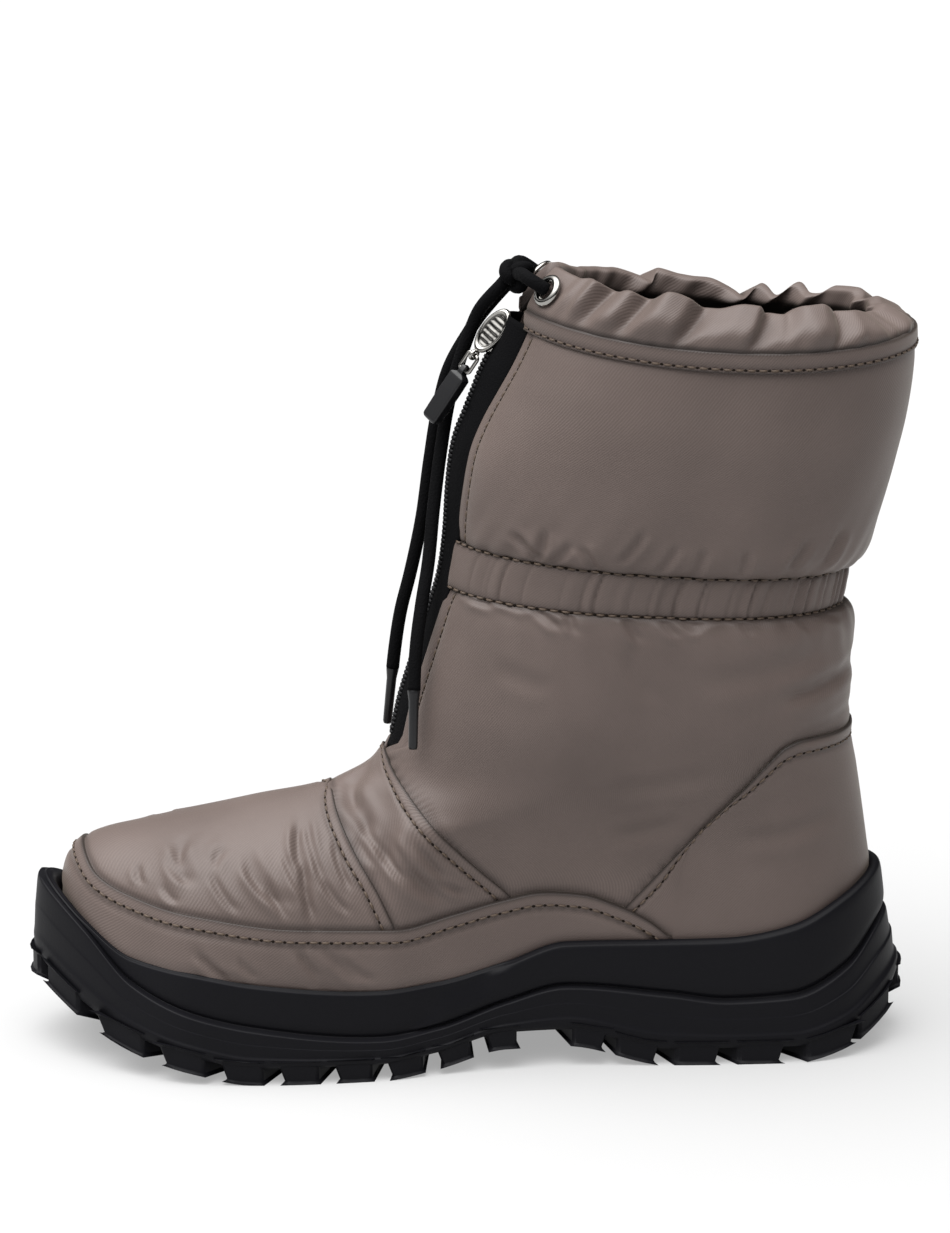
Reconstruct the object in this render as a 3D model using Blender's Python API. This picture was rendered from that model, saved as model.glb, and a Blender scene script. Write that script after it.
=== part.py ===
"""Padded winter boot: moulded lug sole, padded upper with elastic waist, front zip, drawcord collar.

A left boot. +X runs to the toe, +Y to the wearer's left (the outer side), +Z up, and the origin lies
on the floor under the middle of the boot. Sizes are in millimetres, turned into metres in make_mesh.
The upper is one function of a turn around the boot (0 at the heel, pi at the toe or zip) and a level
(0 at the footbed, 1 at the collar seam). Panels, tape and the sole's cup are cut from the same function.
"""
import math

import bmesh
import bpy
import numpy as np

METRES = 0.001
GAP = 0.3
FULL_TURN = 2 * math.pi


def table(columns, *rows):
    """A dictionary of columns from rows of numbers."""
    return dict(zip(columns.split(), np.array(rows, float).T))


# Driving sizes of the sole
SOLE_REAR, SOLE_FRONT = -143.2, 148.3
TOE_ROUND, HEEL_ROUND = 58.0, 40.0
LUG_HEIGHT, LUG_SINK = 5.5, 2.5
SOLE = table(
    "x      centre  half  tread  tier   rim   seat",
    (-145, 0.5, 33.0, 17.0, 46.0, 60.0, 33.0),
    (-135, 0.7, 35.5, 10.0, 42.0, 59.0, 33.0),
    (-122, 1.0, 37.0, 3.5, 30.0, 54.0, 33.0),
    (-103, 1.2, 37.5, 0.0, 22.3, 46.0, 32.6),
    (-82, 1.6, 37.3, 0.0, 21.3, 42.4, 32.2),
    (-62, 2.5, 35.8, 0.0, 23.8, 42.0, 31.6),
    (-28, 4.0, 33.0, 7.0, 27.0, 41.5, 29.0),
    (-8, 3.8, 35.0, 7.0, 22.5, 35.5, 26.5),
    (15, 2.5, 40.5, 2.0, 15.5, 30.3, 23.5),
    (33, 1.4, 46.0, 0.0, 13.4, 29.2, 22.0),
    (76, -1.0, 50.0, 0.0, 18.2, 32.8, 21.6),
    (95, -2.8, 50.0, 3.5, 22.5, 36.0, 23.0),
    (115, -5.0, 46.0, 8.0, 30.5, 38.0, 26.0),
    (130, -6.8, 41.5, 14.0, 45.0, 46.5, 29.0),
    (145, -8.0, 35.0, 23.0, 57.0, 58.5, 31.0),
)
# The side of the sole, from the tread up: stage 0 runs from tread to tier, stage 1 from tier to rim
SIDE_STEPS = table(
    "stage share inset heel toe recess",
    (0, 0.00, 2.2, 2.0, 3.0, 0.0),
    (0, 0.10, 0.4, 0.2, 0.6, 0.0),
    (0, 0.26, 0.2, 0.6, 0.2, 0.0),
    (0, 0.36, 1.6, 2.2, 0.8, 0.0),
    (0, 0.88, 1.4, 4.4, 2.0, 0.0),
    (0, 0.97, 2.0, 5.2, 2.8, 0.0),
    (1, 0.04, 4.2, 7.0, 4.5, 0.4),
    (1, 0.18, 2.2, 5.6, 4.5, 1.4),
    (1, 0.80, 2.0, 6.6, 5.0, 1.4),
    (1, 1.00, 3.6, 8.0, 6.0, 0.8),
)
# Where the proud arch wall meets the recessed forefoot wall: a slanted step
ARCH_STEP_LOW, ARCH_STEP_HIGH, ARCH_STEP_RUN = 22.0, -14.0, 8.0

# Side lugs of the forefoot shrink towards the arch; those of the heel are listed
FOREFOOT_LUGS, FIRST_LUG, LUG_PITCH, PITCH_CHANGE = 8, 118.0, 20.5, 0.37
LUG_LENGTH, LUG_SHRINK, LUG_DEPTH, LUG_SLANT, LUG_INSET = 12.8, 0.6, 19.0, 3.0, 0.9
HEEL_LUGS = table(
    "x     length",
    (-35, 9.5),
    (-51, 12.0),
    (-71, 13.0),
    (-92, 13.5),
    (-116, 15.0),
)
TIP_LUG_TURN, TIP_LUG_SPAN, SIDE_TIP_TURN, SIDE_TIP_SPAN = math.pi, 0.16, 0.36, 0.1
REAR_LUG_TURNS, REAR_LUG_SPAN = (0.0, 0.37), 0.11
MIDDLE_LUGS = table(
    "x    length width",
    (108, 11.0, 18.0),
    (88, 11.0, 30.0),
    (69, 11.0, 34.0),
    (51, 10.5, 34.0),
    (33, 10.0, 28.0),
    (16, 9.0, 18.0),
    (-61, 9.0, 16.0),
    (-81, 10.0, 18.0),
    (-102, 10.0, 16.0),
)

# Side view of the upper: toe, vamp ridge, throat and shaft front (drawn on past the collar), then the back
FRONT = table(
    "x      z",
    (137.5, 22.0), (137.2, 40.0), (136.6, 52.0), (135.0, 60.0), (130.5, 66.3), (122.0, 70.0),
    (110.0, 72.6), (91.0, 77.0), (72.0, 81.5), (52.0, 86.0), (42.0, 90.5), (34.0, 95.5),
    (30.0, 101.5), (25.5, 119.0), (20.0, 136.5), (15.5, 150.5), (12.3, 161.0), (9.8, 175.0),
    (8.0, 190.0), (5.5, 204.0), (1.5, 214.5), (-3.5, 224.0), (-9.0, 234.0), (-14.0, 245.0),
    (-16.0, 250.0), (-40.0, 340.0), (-150.0, 600.0),
)
BACK = table(
    "z     x       round",
    (30, -130.5, 36.0), (45, -131.8, 36.0), (56, -131.8, 36.0), (68, -130.5, 38.0),
    (81, -128.6, 41.0), (93, -126.6, 44.0), (105, -124.8, 48.0), (120, -124.8, 53.0),
    (135, -125.4, 58.0), (150, -126.6, 60.0), (165, -129.2, 61.0), (182, -134.0, 62.0),
    (199, -138.4, 62.0), (213, -141.4, 62.0), (226, -143.0, 62.0), (250, -144.4, 62.0),
)
SHAFT = table(
    "z    half",
    (30, 33.0), (60, 34.0), (90, 38.0), (110, 40.5), (130, 42.5), (160, 44.5), (190, 48.0),
    (215, 49.5), (250, 49.5),
)
SHAFT_ROUND, SHAFT_CENTRE = 62.0, 0.5
VAMP_ARCH = table("x round", (-150, 52.0), (20, 52.0), (60, 45.0), (100, 34.0), (140, 30.0))
FOOT_INSET, TOE_INSET, TOE_INSET_FROM, TOE_INSET_RUN = 6.5, 3.5, 95.0, 25.0
# Foot widths hand over to shaft widths between these heights, behind this place
HANDOVER_LOW, HANDOVER_HIGH, HANDOVER_X, HANDOVER_RUN = 60.0, 120.0, 75.0, 60.0
# Girths: height at the front and at the back of each level line
GIRTHS = table(
    "front  back",
    (31.0, 33.0), (45.0, 44.0), (60.0, 57.0), (66.3, 66.0), (72.0, 76.0), (81.5, 88.0),
    (90.0, 98.0), (101.5, 108.0), (136.0, 130.0), (158.5, 149.5), (174.0, 162.0),
    (214.0, 204.0), (245.0, 237.5),
)
SEAT_FADE = 0.16
SEAM_SAG, SEAM_SAG_FROM = 3.5, 0.8
WALL = 4.0
THROAT_Z, SLIT_HALF = 101.5, 11.5
# The elastic waist band: a recess, deeper at the back
BAND_LOW, BAND_HIGH = 158.5, 174.0
BAND_DEPTH_FRONT, BAND_DEPTH_BACK, BAND_EDGE = 1.2, 5.2, 0.012
# Rows of the upper's net, by height at the front, and columns on each side
NET_ROWS = (31, 45, 60, 66.3, 72, 81.5, 86, 90, 95.5, 101.5, 104, 118, 136, 156.5, 160.5,
            172, 176, 186, 203, 221, 238.5, 245)
NET_COLUMNS = 17

# Edges of the panels in side view
MUDGUARD_POINTS, BEYOND = 25, 150.0
MUDGUARD_TOP = table(
    "x     z",
    (-62, 43.4), (-56, 48.3), (-46, 53.6), (-33, 57.9), (-20, 58.9), (-6, 56.8), (10, 53.3),
    (27, 50.1), (60, 50.7), (92, 54.2), (112, 57.2), (125, 61.5), (131, 69.0), (134, 76.0),
)
COUNTER_EDGE = table("x z", (-45, 50), (-59, 65.3), (-85, 93.6), (-97, 106.5), (-106, 110), (-150, 107))
VAMP_EDGE = table("z x", (46, 27), (60, 33), (74, 41.5), (84, 46.5), (97, 50))
INSTEP_EDGE = table("z x", (59.6, -8), (67, 0), (78, 11), (90, 22), (98, 28.5), (104, 31))
PANEL_THICK, VAMP_THICK, MUDGUARD_THICK, SEAM_GAP, RIM_GAP = 0.9, 1.3, 1.7, 0.5, 1.0

# Collar: section of the gathered tunnel, out from the seam and up from it
COLLAR_SECTION = table(
    "out   up",
    (0.2, 0.0), (-0.6, 0.35), (-5.0, 0.72), (-10.0, 0.97), (-13.5, 0.88), (-13.0, 0.5), (-6.0, 0.0),
)
COLLAR_HEIGHTS = table(
    "turn  height",
    (0.0, 13.5), (1.57, 17.0), (2.6, 18.5), (math.pi, 18.5), (3.8, 18.0), (4.71, 12.5), (2 * math.pi, 13.5),
)
GATHERS, GATHER_OUT, GATHER_UP, GATHER_WANDER = 15, 1.9, 1.7, 0.9
COLLAR_COLUMNS = 31
STRIP_ROWS, STRIP_THICK = NET_ROWS[-2:], 1.2

# Zip: tape in the slit, a raised row of teeth, slider and oval cap
TAPE_ROWS = tuple(row for row in NET_ROWS if row > THROAT_Z)
TAPE_THICK, TAPE_GAP, TEETH_HALF, TEETH_PROUD, TEETH_FOOT = 1.6, 0.5, 2.6, 1.3, 106.0
SLIDER_Z = 238.2
SLIDER_OUTLINE = table(
    "across down",
    (0, -7.0), (3.6, -6.5), (4.4, -4.5), (4.4, 0), (3.2, 5.5), (2.4, 6.5), (0, 7.0),
)
CAP_LENGTH, CAP_WIDTH, CAP_LIFT, CAP_SIDES = 17.0, 9.0, 5.4, 18
# The cap leans forwards at its foot and swings towards the outer side
CAP_TILT, CAP_SWING = math.radians(12), math.radians(48)
CAP_SECTION = table("share out", (0.9, 0), (1, 0.4), (1, 1.1), (0.9, 1.8), (0.74, 1.8), (0.6, 1.0))
# The hanging pull: eye on the cap, wire link through it, tab on the link, all about one hinge
EYE_RADIUS, EYE_HOLE, EYE_THICK, EYE_DOWN, EYE_OUT = 2.1, 1.2, 1.4, 9.9, 0.9
WIRE, WIRE_SIDES, LINK_HALF, LINK_LENGTH, LINK_CORNER = 0.65, 8, 2.25, 6.2, 1.0
NECK_RADIUS, NECK_HOLE, NECK_THICK = 2.0, 1.1, 2.2
TAB_SECTIONS = table(
    "hang  half  thick",
    (7.6, 0.95, 1.1), (9.6, 2.6, 1.9), (12.0, 3.3, 2.1), (21.0, 3.0, 2.1), (25.2, 2.5, 1.7), (26.6, 1.6, 1.0),
)
TAB_CHAMFER, TAB_RIDGE = 0.6, 0.82

# Eyelets and drawcord
EYELET_TURN, EYELET_UP, EYELET_STAND = 0.4, 0.66, 0.9
EYELET_SECTION = table("radius out", (2.9, 0), (5.6, 0), (5.4, 0.7), (4.4, 1.5), (3.2, 1.0))
WASHER_SIDES = 14
CORD_DIAMETER, CORD_STEP = 4.4, 9.0
KNOT_AT, KNOT_RADIUS, KNOT_LUMP, KNOT_CLEAR = (-13.6, -1.4, 258.8), 5.9, 0.3, 0.6
# Where the four cords meet the knot, as directions from its middle
LEAD_SIDES = {"outer": (0.15, 0.98, 0.1), "inner": (0.1, -0.93, 0.35)}
LEAD_START, LEAD_STRAIGHT, LEAD_APPROACH = 0.6, 3.6, 10.0
END_SIDES = {"outer": (0.62, -0.18, -0.76), "inner": (0.3, -0.8, -0.52)}
# Routes of the hanging ends, chosen by hand, from the knot to the aglet
END_ROUTES = {
    "outer": ((-2.6, -5.4, 249.0), (0.6, -7.6, 240.5), (4.6, -8.4, 229.0), (8.0, -8.2, 216.0),
              (10.8, -6.4, 200.0), (13.6, -1.0, 181.0), (15.8, 6.0, 164.0), (18.3, 12.3, 152.0),
              (20.3, 18.0, 140.0), (21.3, 22.0, 126.0)),
    "inner": ((-7.2, -11.8, 249.0), (1.0, -13.4, 238.0), (7.6, -13.8, 226.0), (11.5, -14.0, 211.0),
              (14.1, -13.6, 195.0), (16.9, -13.0, 175.0), (20.9, -12.8, 156.0), (23.9, -12.8, 144.0),
              (25.8, -13.0, 132.0), (26.7, -13.2, 124.0)),
}
AGLET_SECTION = table("along radius", (0, 1.9), (1.2, 2.1), (4.0, 1.65), (19.0, 1.5), (20.0, 1.0))
AGLET_SIDES = 10
INSOLE_LEVEL, INSOLE_SIDE_GAP = 0.035, 0.6


def curve(at, xs, ys):
    """A monotone cubic through the points (xs, ys), read at the places given."""
    order = np.argsort(xs)
    xs, ys = xs[order], ys[order]
    at = np.clip(at, xs[0], xs[-1])
    step = np.diff(xs)
    rise = np.diff(ys) / step
    first = 2 * step[1:] + step[:-1]
    second = step[1:] + 2 * step[:-1]
    with np.errstate(divide="ignore", invalid="ignore"):
        mean = (first + second) / (first / rise[:-1] + second / rise[1:])
    slope = np.concatenate([rise[:1], np.where(rise[:-1] * rise[1:] > 0, mean, 0), rise[-1:]])
    i = np.clip(np.searchsorted(xs, at, side="right") - 1, 0, len(xs) - 2)
    h = step[i]
    t = (at - xs[i]) / h
    ends = (2 * t**3 - 3 * t**2 + 1) * ys[i] + (3 * t**2 - 2 * t**3) * ys[i + 1]
    return ends + h * ((t**3 - 2 * t**2 + t) * slope[i] + (t**3 - t**2) * slope[i + 1])


def smooth(t):
    """0 to 1 with level ends."""
    t = np.clip(t, 0, 1)
    return t * t * (3 - 2 * t)


def dome(depth):
    """Height of a quarter circle: 0 at the edge, 1 from depth 1 inwards."""
    return np.sqrt(np.maximum(0, 1 - (1 - np.clip(depth, 0, 1)) ** 2))


def sole(column, x):
    return curve(x, SOLE["x"], SOLE[column])


# The front profile as a fine line, so that x of z and z of x agree
FRONT_KNOTS = np.concatenate([[0], np.cumsum(np.hypot(np.diff(FRONT["x"]), np.diff(FRONT["z"])))])
FRONT_RUN = np.linspace(0, FRONT_KNOTS[-1], 1500)
FRONT_X = curve(FRONT_RUN, FRONT_KNOTS, FRONT["x"])
FRONT_Z = curve(FRONT_RUN, FRONT_KNOTS, FRONT["z"])
GIRTH_RUN = np.interp(GIRTHS["front"], FRONT_Z, FRONT_RUN)
GIRTH_LEVEL = np.concatenate([[0], np.cumsum(np.diff(GIRTH_RUN) + np.diff(GIRTHS["back"]))])
GIRTH_LEVEL /= GIRTH_LEVEL[-1]


def front_x(z):
    return np.interp(z, FRONT_Z, FRONT_X)


def level_at(front_height):
    """The level whose line starts at this height at the front of the boot."""
    levels = np.linspace(0, 1, 1500)
    heights = np.interp(curve(levels, GIRTH_LEVEL, GIRTH_RUN), FRONT_RUN, FRONT_Z)
    return np.interp(front_height, heights, levels)


def breadth(x, z):
    """Centre line and half width of the boot at a place in side view.

    The half width is the foot's or the shaft's own, rounded off towards the front profile by the
    distance to it (from the distances straight up and straight ahead) and towards the back.
    """
    shaft = smooth((z - HANDOVER_LOW) / (HANDOVER_HIGH - HANDOVER_LOW))
    shaft = shaft * smooth((HANDOVER_X - x) / HANDOVER_RUN)
    foot = sole("half", x) - FOOT_INSET - TOE_INSET * smooth((x - TOE_INSET_FROM) / TOE_INSET_RUN)
    half = foot + (curve(z, SHAFT["z"], SHAFT["half"]) - foot) * shaft
    arch = curve(x, VAMP_ARCH["x"], VAMP_ARCH["round"])
    arch = arch + (SHAFT_ROUND - arch) * shaft
    above = np.maximum(np.interp(x, FRONT_X[::-1], FRONT_Z[::-1]) - z, 1e-9)
    ahead = np.maximum(front_x(z) - x, 1e-9)
    inside = above * ahead / np.hypot(above, ahead)
    behind = x - curve(z, BACK["z"], BACK["x"])
    half = half * dome(inside / arch) * dome(behind / curve(z, BACK["z"], BACK["round"]))
    centre = sole("centre", x) * (1 - shaft) + SHAFT_CENTRE * shaft
    return centre, half


def side_place(turn, level):
    """x and z of the level line: straight from back to front, bent to the footbed below."""
    along = (1 - np.cos(turn)) / 2
    run = curve(level, GIRTH_LEVEL, GIRTH_RUN)
    x1, z1 = np.interp(run, FRONT_RUN, FRONT_X), np.interp(run, FRONT_RUN, FRONT_Z)
    z0 = curve(level, GIRTH_LEVEL, GIRTHS["back"])
    x0 = curve(z0, BACK["z"], BACK["x"])
    x = x0 + (x1 - x0) * along
    straight = GIRTHS["back"][0] + (GIRTHS["front"][0] - GIRTHS["back"][0]) * along
    bow = (sole("seat", x) - straight) * smooth(1 - level / SEAT_FADE)
    bow = bow - SEAM_SAG * smooth((level - SEAM_SAG_FROM) / (1 - SEAM_SAG_FROM))
    return x, z0 + (z1 - z0) * along + bow * np.sin(turn) ** 2


def plain_skin(turn, level):
    turn = np.mod(turn, FULL_TURN)
    x, z = side_place(turn, level)
    centre, half = breadth(x, z)
    return np.stack([x, centre + np.where(turn < math.pi, half, -half), z], -1)


def band_depth(turn, level):
    low, high = level_at(BAND_LOW), level_at(BAND_HIGH)
    inside = smooth((level - low) / BAND_EDGE + 0.5) * smooth((high - level) / BAND_EDGE + 0.5)
    back = (1 + np.cos(turn)) / 2
    return inside * (BAND_DEPTH_FRONT + (BAND_DEPTH_BACK - BAND_DEPTH_FRONT) * back)


def skin(turn, level, grow=0.0):
    """Points of the upper's outside, moved out by grow, with the waist band let in."""
    turn, level = np.broadcast_arrays(np.asarray(turn, float), np.asarray(level, float))
    step = 1e-3
    around = plain_skin(turn + step, level) - plain_skin(turn - step, level)
    up = plain_skin(turn, np.minimum(level + step, 1)) - plain_skin(turn, np.maximum(level - step, 0))
    out = np.cross(up, around)
    out /= np.maximum(np.linalg.norm(out, axis=-1, keepdims=True), 1e-9)
    return plain_skin(turn, level) + out * (grow - band_depth(turn, level))[..., None]


def slit_turn(level, half):
    """How far from the front, as a turn, the skin is this far from the middle of the zip."""
    near = np.linspace(0, 0.6, 121)
    wide = plain_skin(math.pi - near[None, :], np.atleast_1d(level)[:, None])[..., 1] - SHAFT_CENTRE
    return np.array([np.interp(half, row, near) for row in wide])


def net_turns(levels, columns, slit):
    """Turns of each row: the outer side from back to front, then the inner side from front to back."""
    open_rows = levels > level_at(THROAT_Z) + 1e-6
    gap = np.where(open_rows & (slit > 0), slit_turn(levels, slit), 0)[:, None]
    share = np.linspace(0, 1, columns + 1)[None, :]
    outer = (math.pi - gap) * share
    return np.hstack([outer, FULL_TURN - outer[:, ::-1]])


def triangles(quads, mirrored=False):
    """Each quad cut along one diagonal, the other where mirrored, without triangles that have no area."""
    quads = np.where(np.broadcast_to(mirrored, len(quads))[:, None], np.roll(quads, -1, axis=1), quads)
    cut = np.concatenate([quads[:, [0, 1, 2]], quads[:, [0, 2, 3]]])
    return cut[(cut[:, 0] != cut[:, 1]) & (cut[:, 1] != cut[:, 2]) & (cut[:, 0] != cut[:, 2])]


def wall(outer, inner, split=None):
    """Points and faces of a solid between two grids of points, closed along all its edges.

    The strip after the column named in split is left out.
    """
    rows, columns = outer.shape[:2]
    count = rows * columns
    i, j = np.meshgrid(np.arange(rows - 1), np.arange(columns - 1), indexing="ij")
    a = (i * columns + j).ravel()[j.ravel() != split]
    faces = np.stack([a, a + 1, a + columns + 1, a + columns], 1)
    points = np.concatenate([outer.reshape(-1, 3), inner.reshape(-1, 3)])
    _, same = np.unique(np.round(outer.reshape(-1, 3), 4), axis=0, return_inverse=True)
    sides = np.concatenate([faces[:, [k, (k + 1) % 4]] for k in range(4)])
    key = np.sort(same.reshape(-1)[sides], axis=1)
    _, index, times = np.unique(key, axis=0, return_inverse=True, return_counts=True)
    edge = sides[(times[index.reshape(-1)] == 1) & (key[:, 0] != key[:, 1])]
    rim = np.stack([edge[:, 1], edge[:, 0], edge[:, 0] + count, edge[:, 1] + count], 1)
    skins = triangles(faces, a % columns >= columns // 2)
    return points, np.concatenate([skins, skins[:, ::-1] + count, triangles(rim)])


def closed_form(rings):
    """Points and faces of a solid through rings that run out along one side and back along the other.

    The first and last ring are closed by strips from side to side.
    """
    rows, count = rings.shape[:2]
    i, j = np.meshgrid(np.arange(rows - 1), np.arange(count), indexing="ij")
    a, b = (i * count + j).ravel(), (i * count + (j + 1) % count).ravel()
    sides = np.stack([a, b, b + count, a + count], 1)
    j = np.arange(count // 2)
    strip = np.stack([j, (count - j) % count, count - j - 1, j + 1], 1)
    top = strip[:, ::-1] + (rows - 1) * count
    skins = triangles(sides, a % count >= count // 2)
    return rings.reshape(-1, 3), np.concatenate([skins, triangles(strip), triangles(top)])


def material(name, colour, roughness, metallic=0.0):
    made = bpy.data.materials.new(name)
    made.use_nodes = True
    shader = made.node_tree.nodes["Principled BSDF"]
    shader.inputs["Base Color"].default_value = (*colour, 1)
    shader.inputs["Roughness"].default_value = roughness
    shader.inputs["Metallic"].default_value = metallic
    return made


def make_mesh(name, points, faces, finish):
    """An object from points in millimetres; doubles are welded and faces turned outwards."""
    mesh = bpy.data.meshes.new(name)
    mesh.from_pydata((np.asarray(points) * METRES).tolist(), [], [list(face) for face in faces])
    work = bmesh.new()
    work.from_mesh(mesh)
    bmesh.ops.remove_doubles(work, verts=work.verts, dist=1e-6)
    bmesh.ops.recalc_face_normals(work, faces=work.faces)
    work.to_mesh(mesh)
    work.free()
    mesh.shade_smooth()
    mesh.set_sharp_from_angle(angle=math.radians(35))
    made = bpy.data.objects.new(name, mesh)
    bpy.context.scene.collection.objects.link(made)
    if finish:
        mesh.materials.append(finish)
    return made


def helper(name, points, faces):
    """A cutter or a form to join, which is not a piece of the boot."""
    made = make_mesh(name, points, faces, None)
    made.hide_render = True
    made.display_type = "WIRE"
    return made


def boolean(target, other, operation):
    modifier = target.modifiers.new(operation.lower(), "BOOLEAN")
    modifier.operation = operation
    modifier.solver = "EXACT"
    modifier.object = other


def ring_turns(columns):
    return FULL_TURN * np.arange(2 * columns) / (2 * columns)


def sole_outline(turn, inset, heel=0.0, toe=0.0):
    """x and y of the sole's outline, drawn in at the sides, heel and toe."""
    rear, front = SOLE_REAR + heel, SOLE_FRONT - toe
    x = rear + (front - rear) * (1 - np.cos(turn)) / 2
    half = (sole("half", x) - inset) * dome((front - x) / TOE_ROUND) * dome((x - rear) / HEEL_ROUND)
    return x, sole("centre", x) + np.where(np.mod(turn, FULL_TURN) < math.pi, half, -half)


def sole_rings():
    """Rings of the sole's side from the tread base to the rim, with its ribs, groove and steps."""
    turn = ring_turns(NET_COLUMNS + 2)
    rings = []
    for stage, share, inset, heel, toe, recess in zip(*SIDE_STEPS.values()):
        x, _ = sole_outline(turn, inset, heel, toe)
        step = ARCH_STEP_LOW + (ARCH_STEP_HIGH - ARCH_STEP_LOW) * share
        x, y = sole_outline(turn, inset + recess * smooth((x - step) / ARCH_STEP_RUN), heel, toe)
        base = sole("tread", x) + LUG_HEIGHT
        low, high = (sole("tier", x), sole("rim", x)) if stage else (base, sole("tier", x))
        rings.append(np.stack([x, y, low + (high - low) * share], -1))
    return np.array(rings)


def turn_at(x):
    """The turn at which the sole's outline passes x on the outer side."""
    return math.acos(1 - 2 * (x - SOLE_REAR) / (SOLE_FRONT - SOLE_REAR))


def lug(turns, slant):
    """Points of one edge lug: its foot on the tread, its top sunk into the sole, longer by the slant."""
    turns = np.asarray(turns, float)
    foot_x, foot_y = sole_outline(turns, LUG_INSET)
    deep_x, deep_y = sole_outline(turns, LUG_DEPTH, LUG_DEPTH, LUG_DEPTH)
    x, y = np.concatenate([foot_x, deep_x[::-1]]), np.concatenate([foot_y, deep_y[::-1]])
    foot = np.stack([x, y, sole("tread", x)], -1)
    top = np.stack([x, y, sole("tread", x) + LUG_HEIGHT + LUG_SINK], -1)
    leading = np.isclose(np.concatenate([turns, turns[::-1]]), turns[0 if slant < 0 else -1])
    top[:, 0] += np.where(leading, slant, 0)
    return foot, top


def middle_lug(x, length, width):
    """A six-sided lug on the middle of the tread."""
    ends, waist = length / 2, width / 2
    outline = np.array([(ends, waist / 3), (ends, -waist / 3), (0, -waist), (-ends, -waist / 3),
                        (-ends, waist / 3), (0, waist)])
    foot = np.column_stack([x + outline[:, 0], sole("centre", np.full(6, x)) + outline[:, 1], np.zeros(6)])
    foot[:, 2] = sole("tread", foot[:, 0])
    return foot, foot + (0, 0, LUG_HEIGHT + LUG_SINK)


def all_lugs():
    """Every lug of the tread as one set of points and faces."""
    found = []
    spans = []
    for k in range(FOREFOOT_LUGS):
        middle = FIRST_LUG - LUG_PITCH * k + PITCH_CHANGE * k * k
        spans.append((middle, LUG_LENGTH - LUG_SHRINK * k, LUG_SLANT))
    spans += [(x, length, -LUG_SLANT) for x, length in zip(*HEEL_LUGS.values())]
    for x, length, slant in spans:
        rear, front = turn_at(x - length / 2), turn_at(x + length / 2)
        found.append(lug((rear, front), slant))
        found.append(lug((FULL_TURN - front, FULL_TURN - rear)[::-1], slant))
    tips = [(TIP_LUG_TURN, TIP_LUG_SPAN)]
    tips += [(TIP_LUG_TURN + hand * SIDE_TIP_TURN, SIDE_TIP_SPAN) for hand in (-1, 1)]
    for turn in REAR_LUG_TURNS:
        tips += [(hand * turn, REAR_LUG_SPAN) for hand in ((1, -1) if turn else (1,))]
    for turn, span in tips:
        found.append(lug(np.linspace(turn - span, turn + span, 4), 0))
    found += [middle_lug(*row) for row in zip(*MIDDLE_LUGS.values())]
    points, faces = [], []
    for foot, top in found:
        count, start = len(foot), sum(len(p) for p in points)
        points.append(np.concatenate([foot, top]))
        faces.append([start + k for k in range(count)])
        faces.append([start + count + k for k in range(count)][::-1])
        for k in range(count):
            after = (k + 1) % count
            faces.append([start + after, start + k, start + count + k, start + count + after])
    return np.concatenate(points), faces


def foot_form(top_height):
    """The upper's outside, grown by the gap and closed above and below, which cuts the sole's cup."""
    levels = np.array([level_at(h) for h in NET_ROWS if h <= top_height])[:, None]
    rings = skin(ring_turns(NET_COLUMNS)[None, :], levels, GAP)
    rings[0, :, 2] -= GAP
    return closed_form(rings)


def build_sole(finish):
    body = make_mesh("sole_unit", *closed_form(sole_rings()), finish)
    boolean(body, helper("foot_form", *foot_form(86)), "DIFFERENCE")
    boolean(body, helper("lug_forms", *all_lugs()), "UNION")


def build_insole(finish):
    levels = np.array([0.0, INSOLE_LEVEL])[:, None]
    rings = skin(ring_turns(NET_COLUMNS)[None, :], levels, -WALL - INSOLE_SIDE_GAP)
    make_mesh("insole", *closed_form(rings), finish)


def skin_wall(heights, low, high, slit=SLIT_HALF):
    """A solid layer of the upper between two distances from its outside."""
    levels = level_at(np.array(heights, float))
    turns = net_turns(levels, NET_COLUMNS, slit)
    outer, inner = skin(turns, levels[:, None], high), skin(turns, levels[:, None], low)
    return wall(outer, inner, NET_COLUMNS)


def prism(outline):
    """A slab across the boot with this outline in side view."""
    outline = np.asarray(outline, float)
    count = len(outline)
    points = [(x, y, z) for y in (-90, 90) for x, z in outline]
    faces = [list(range(count)), list(range(2 * count - 1, count - 1, -1))]
    for k in range(count):
        after = (k + 1) % count
        faces.append([after, k, k + count, after + count])
    return points, faces


def panel(name, heights, thick, outline, finish, slit=0.0):
    """A panel laid on the upper: a layer of its own function, cut to an outline in side view."""
    made = make_mesh(name, *skin_wall(heights, GAP, GAP + thick, slit), finish)
    boolean(made, helper(name + "_outline", *prism(outline)), "INTERSECT")


def rows_between(low, high):
    return [h for h in NET_ROWS if low <= h <= high]


def sole_top(x):
    return sole("rim", x) + RIM_GAP


def mudguard_edge(low, high, gap=0.0):
    """Points of the mudguard's top edge in side view, from low to high x, raised by the gap."""
    x = np.linspace(MUDGUARD_TOP["x"][0], MUDGUARD_TOP["x"][-1], MUDGUARD_POINTS)
    z = curve(x, MUDGUARD_TOP["x"], MUDGUARD_TOP["z"]) + gap
    return [(px, pz) for px, pz in zip(x, z) if low <= px <= high]


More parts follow.
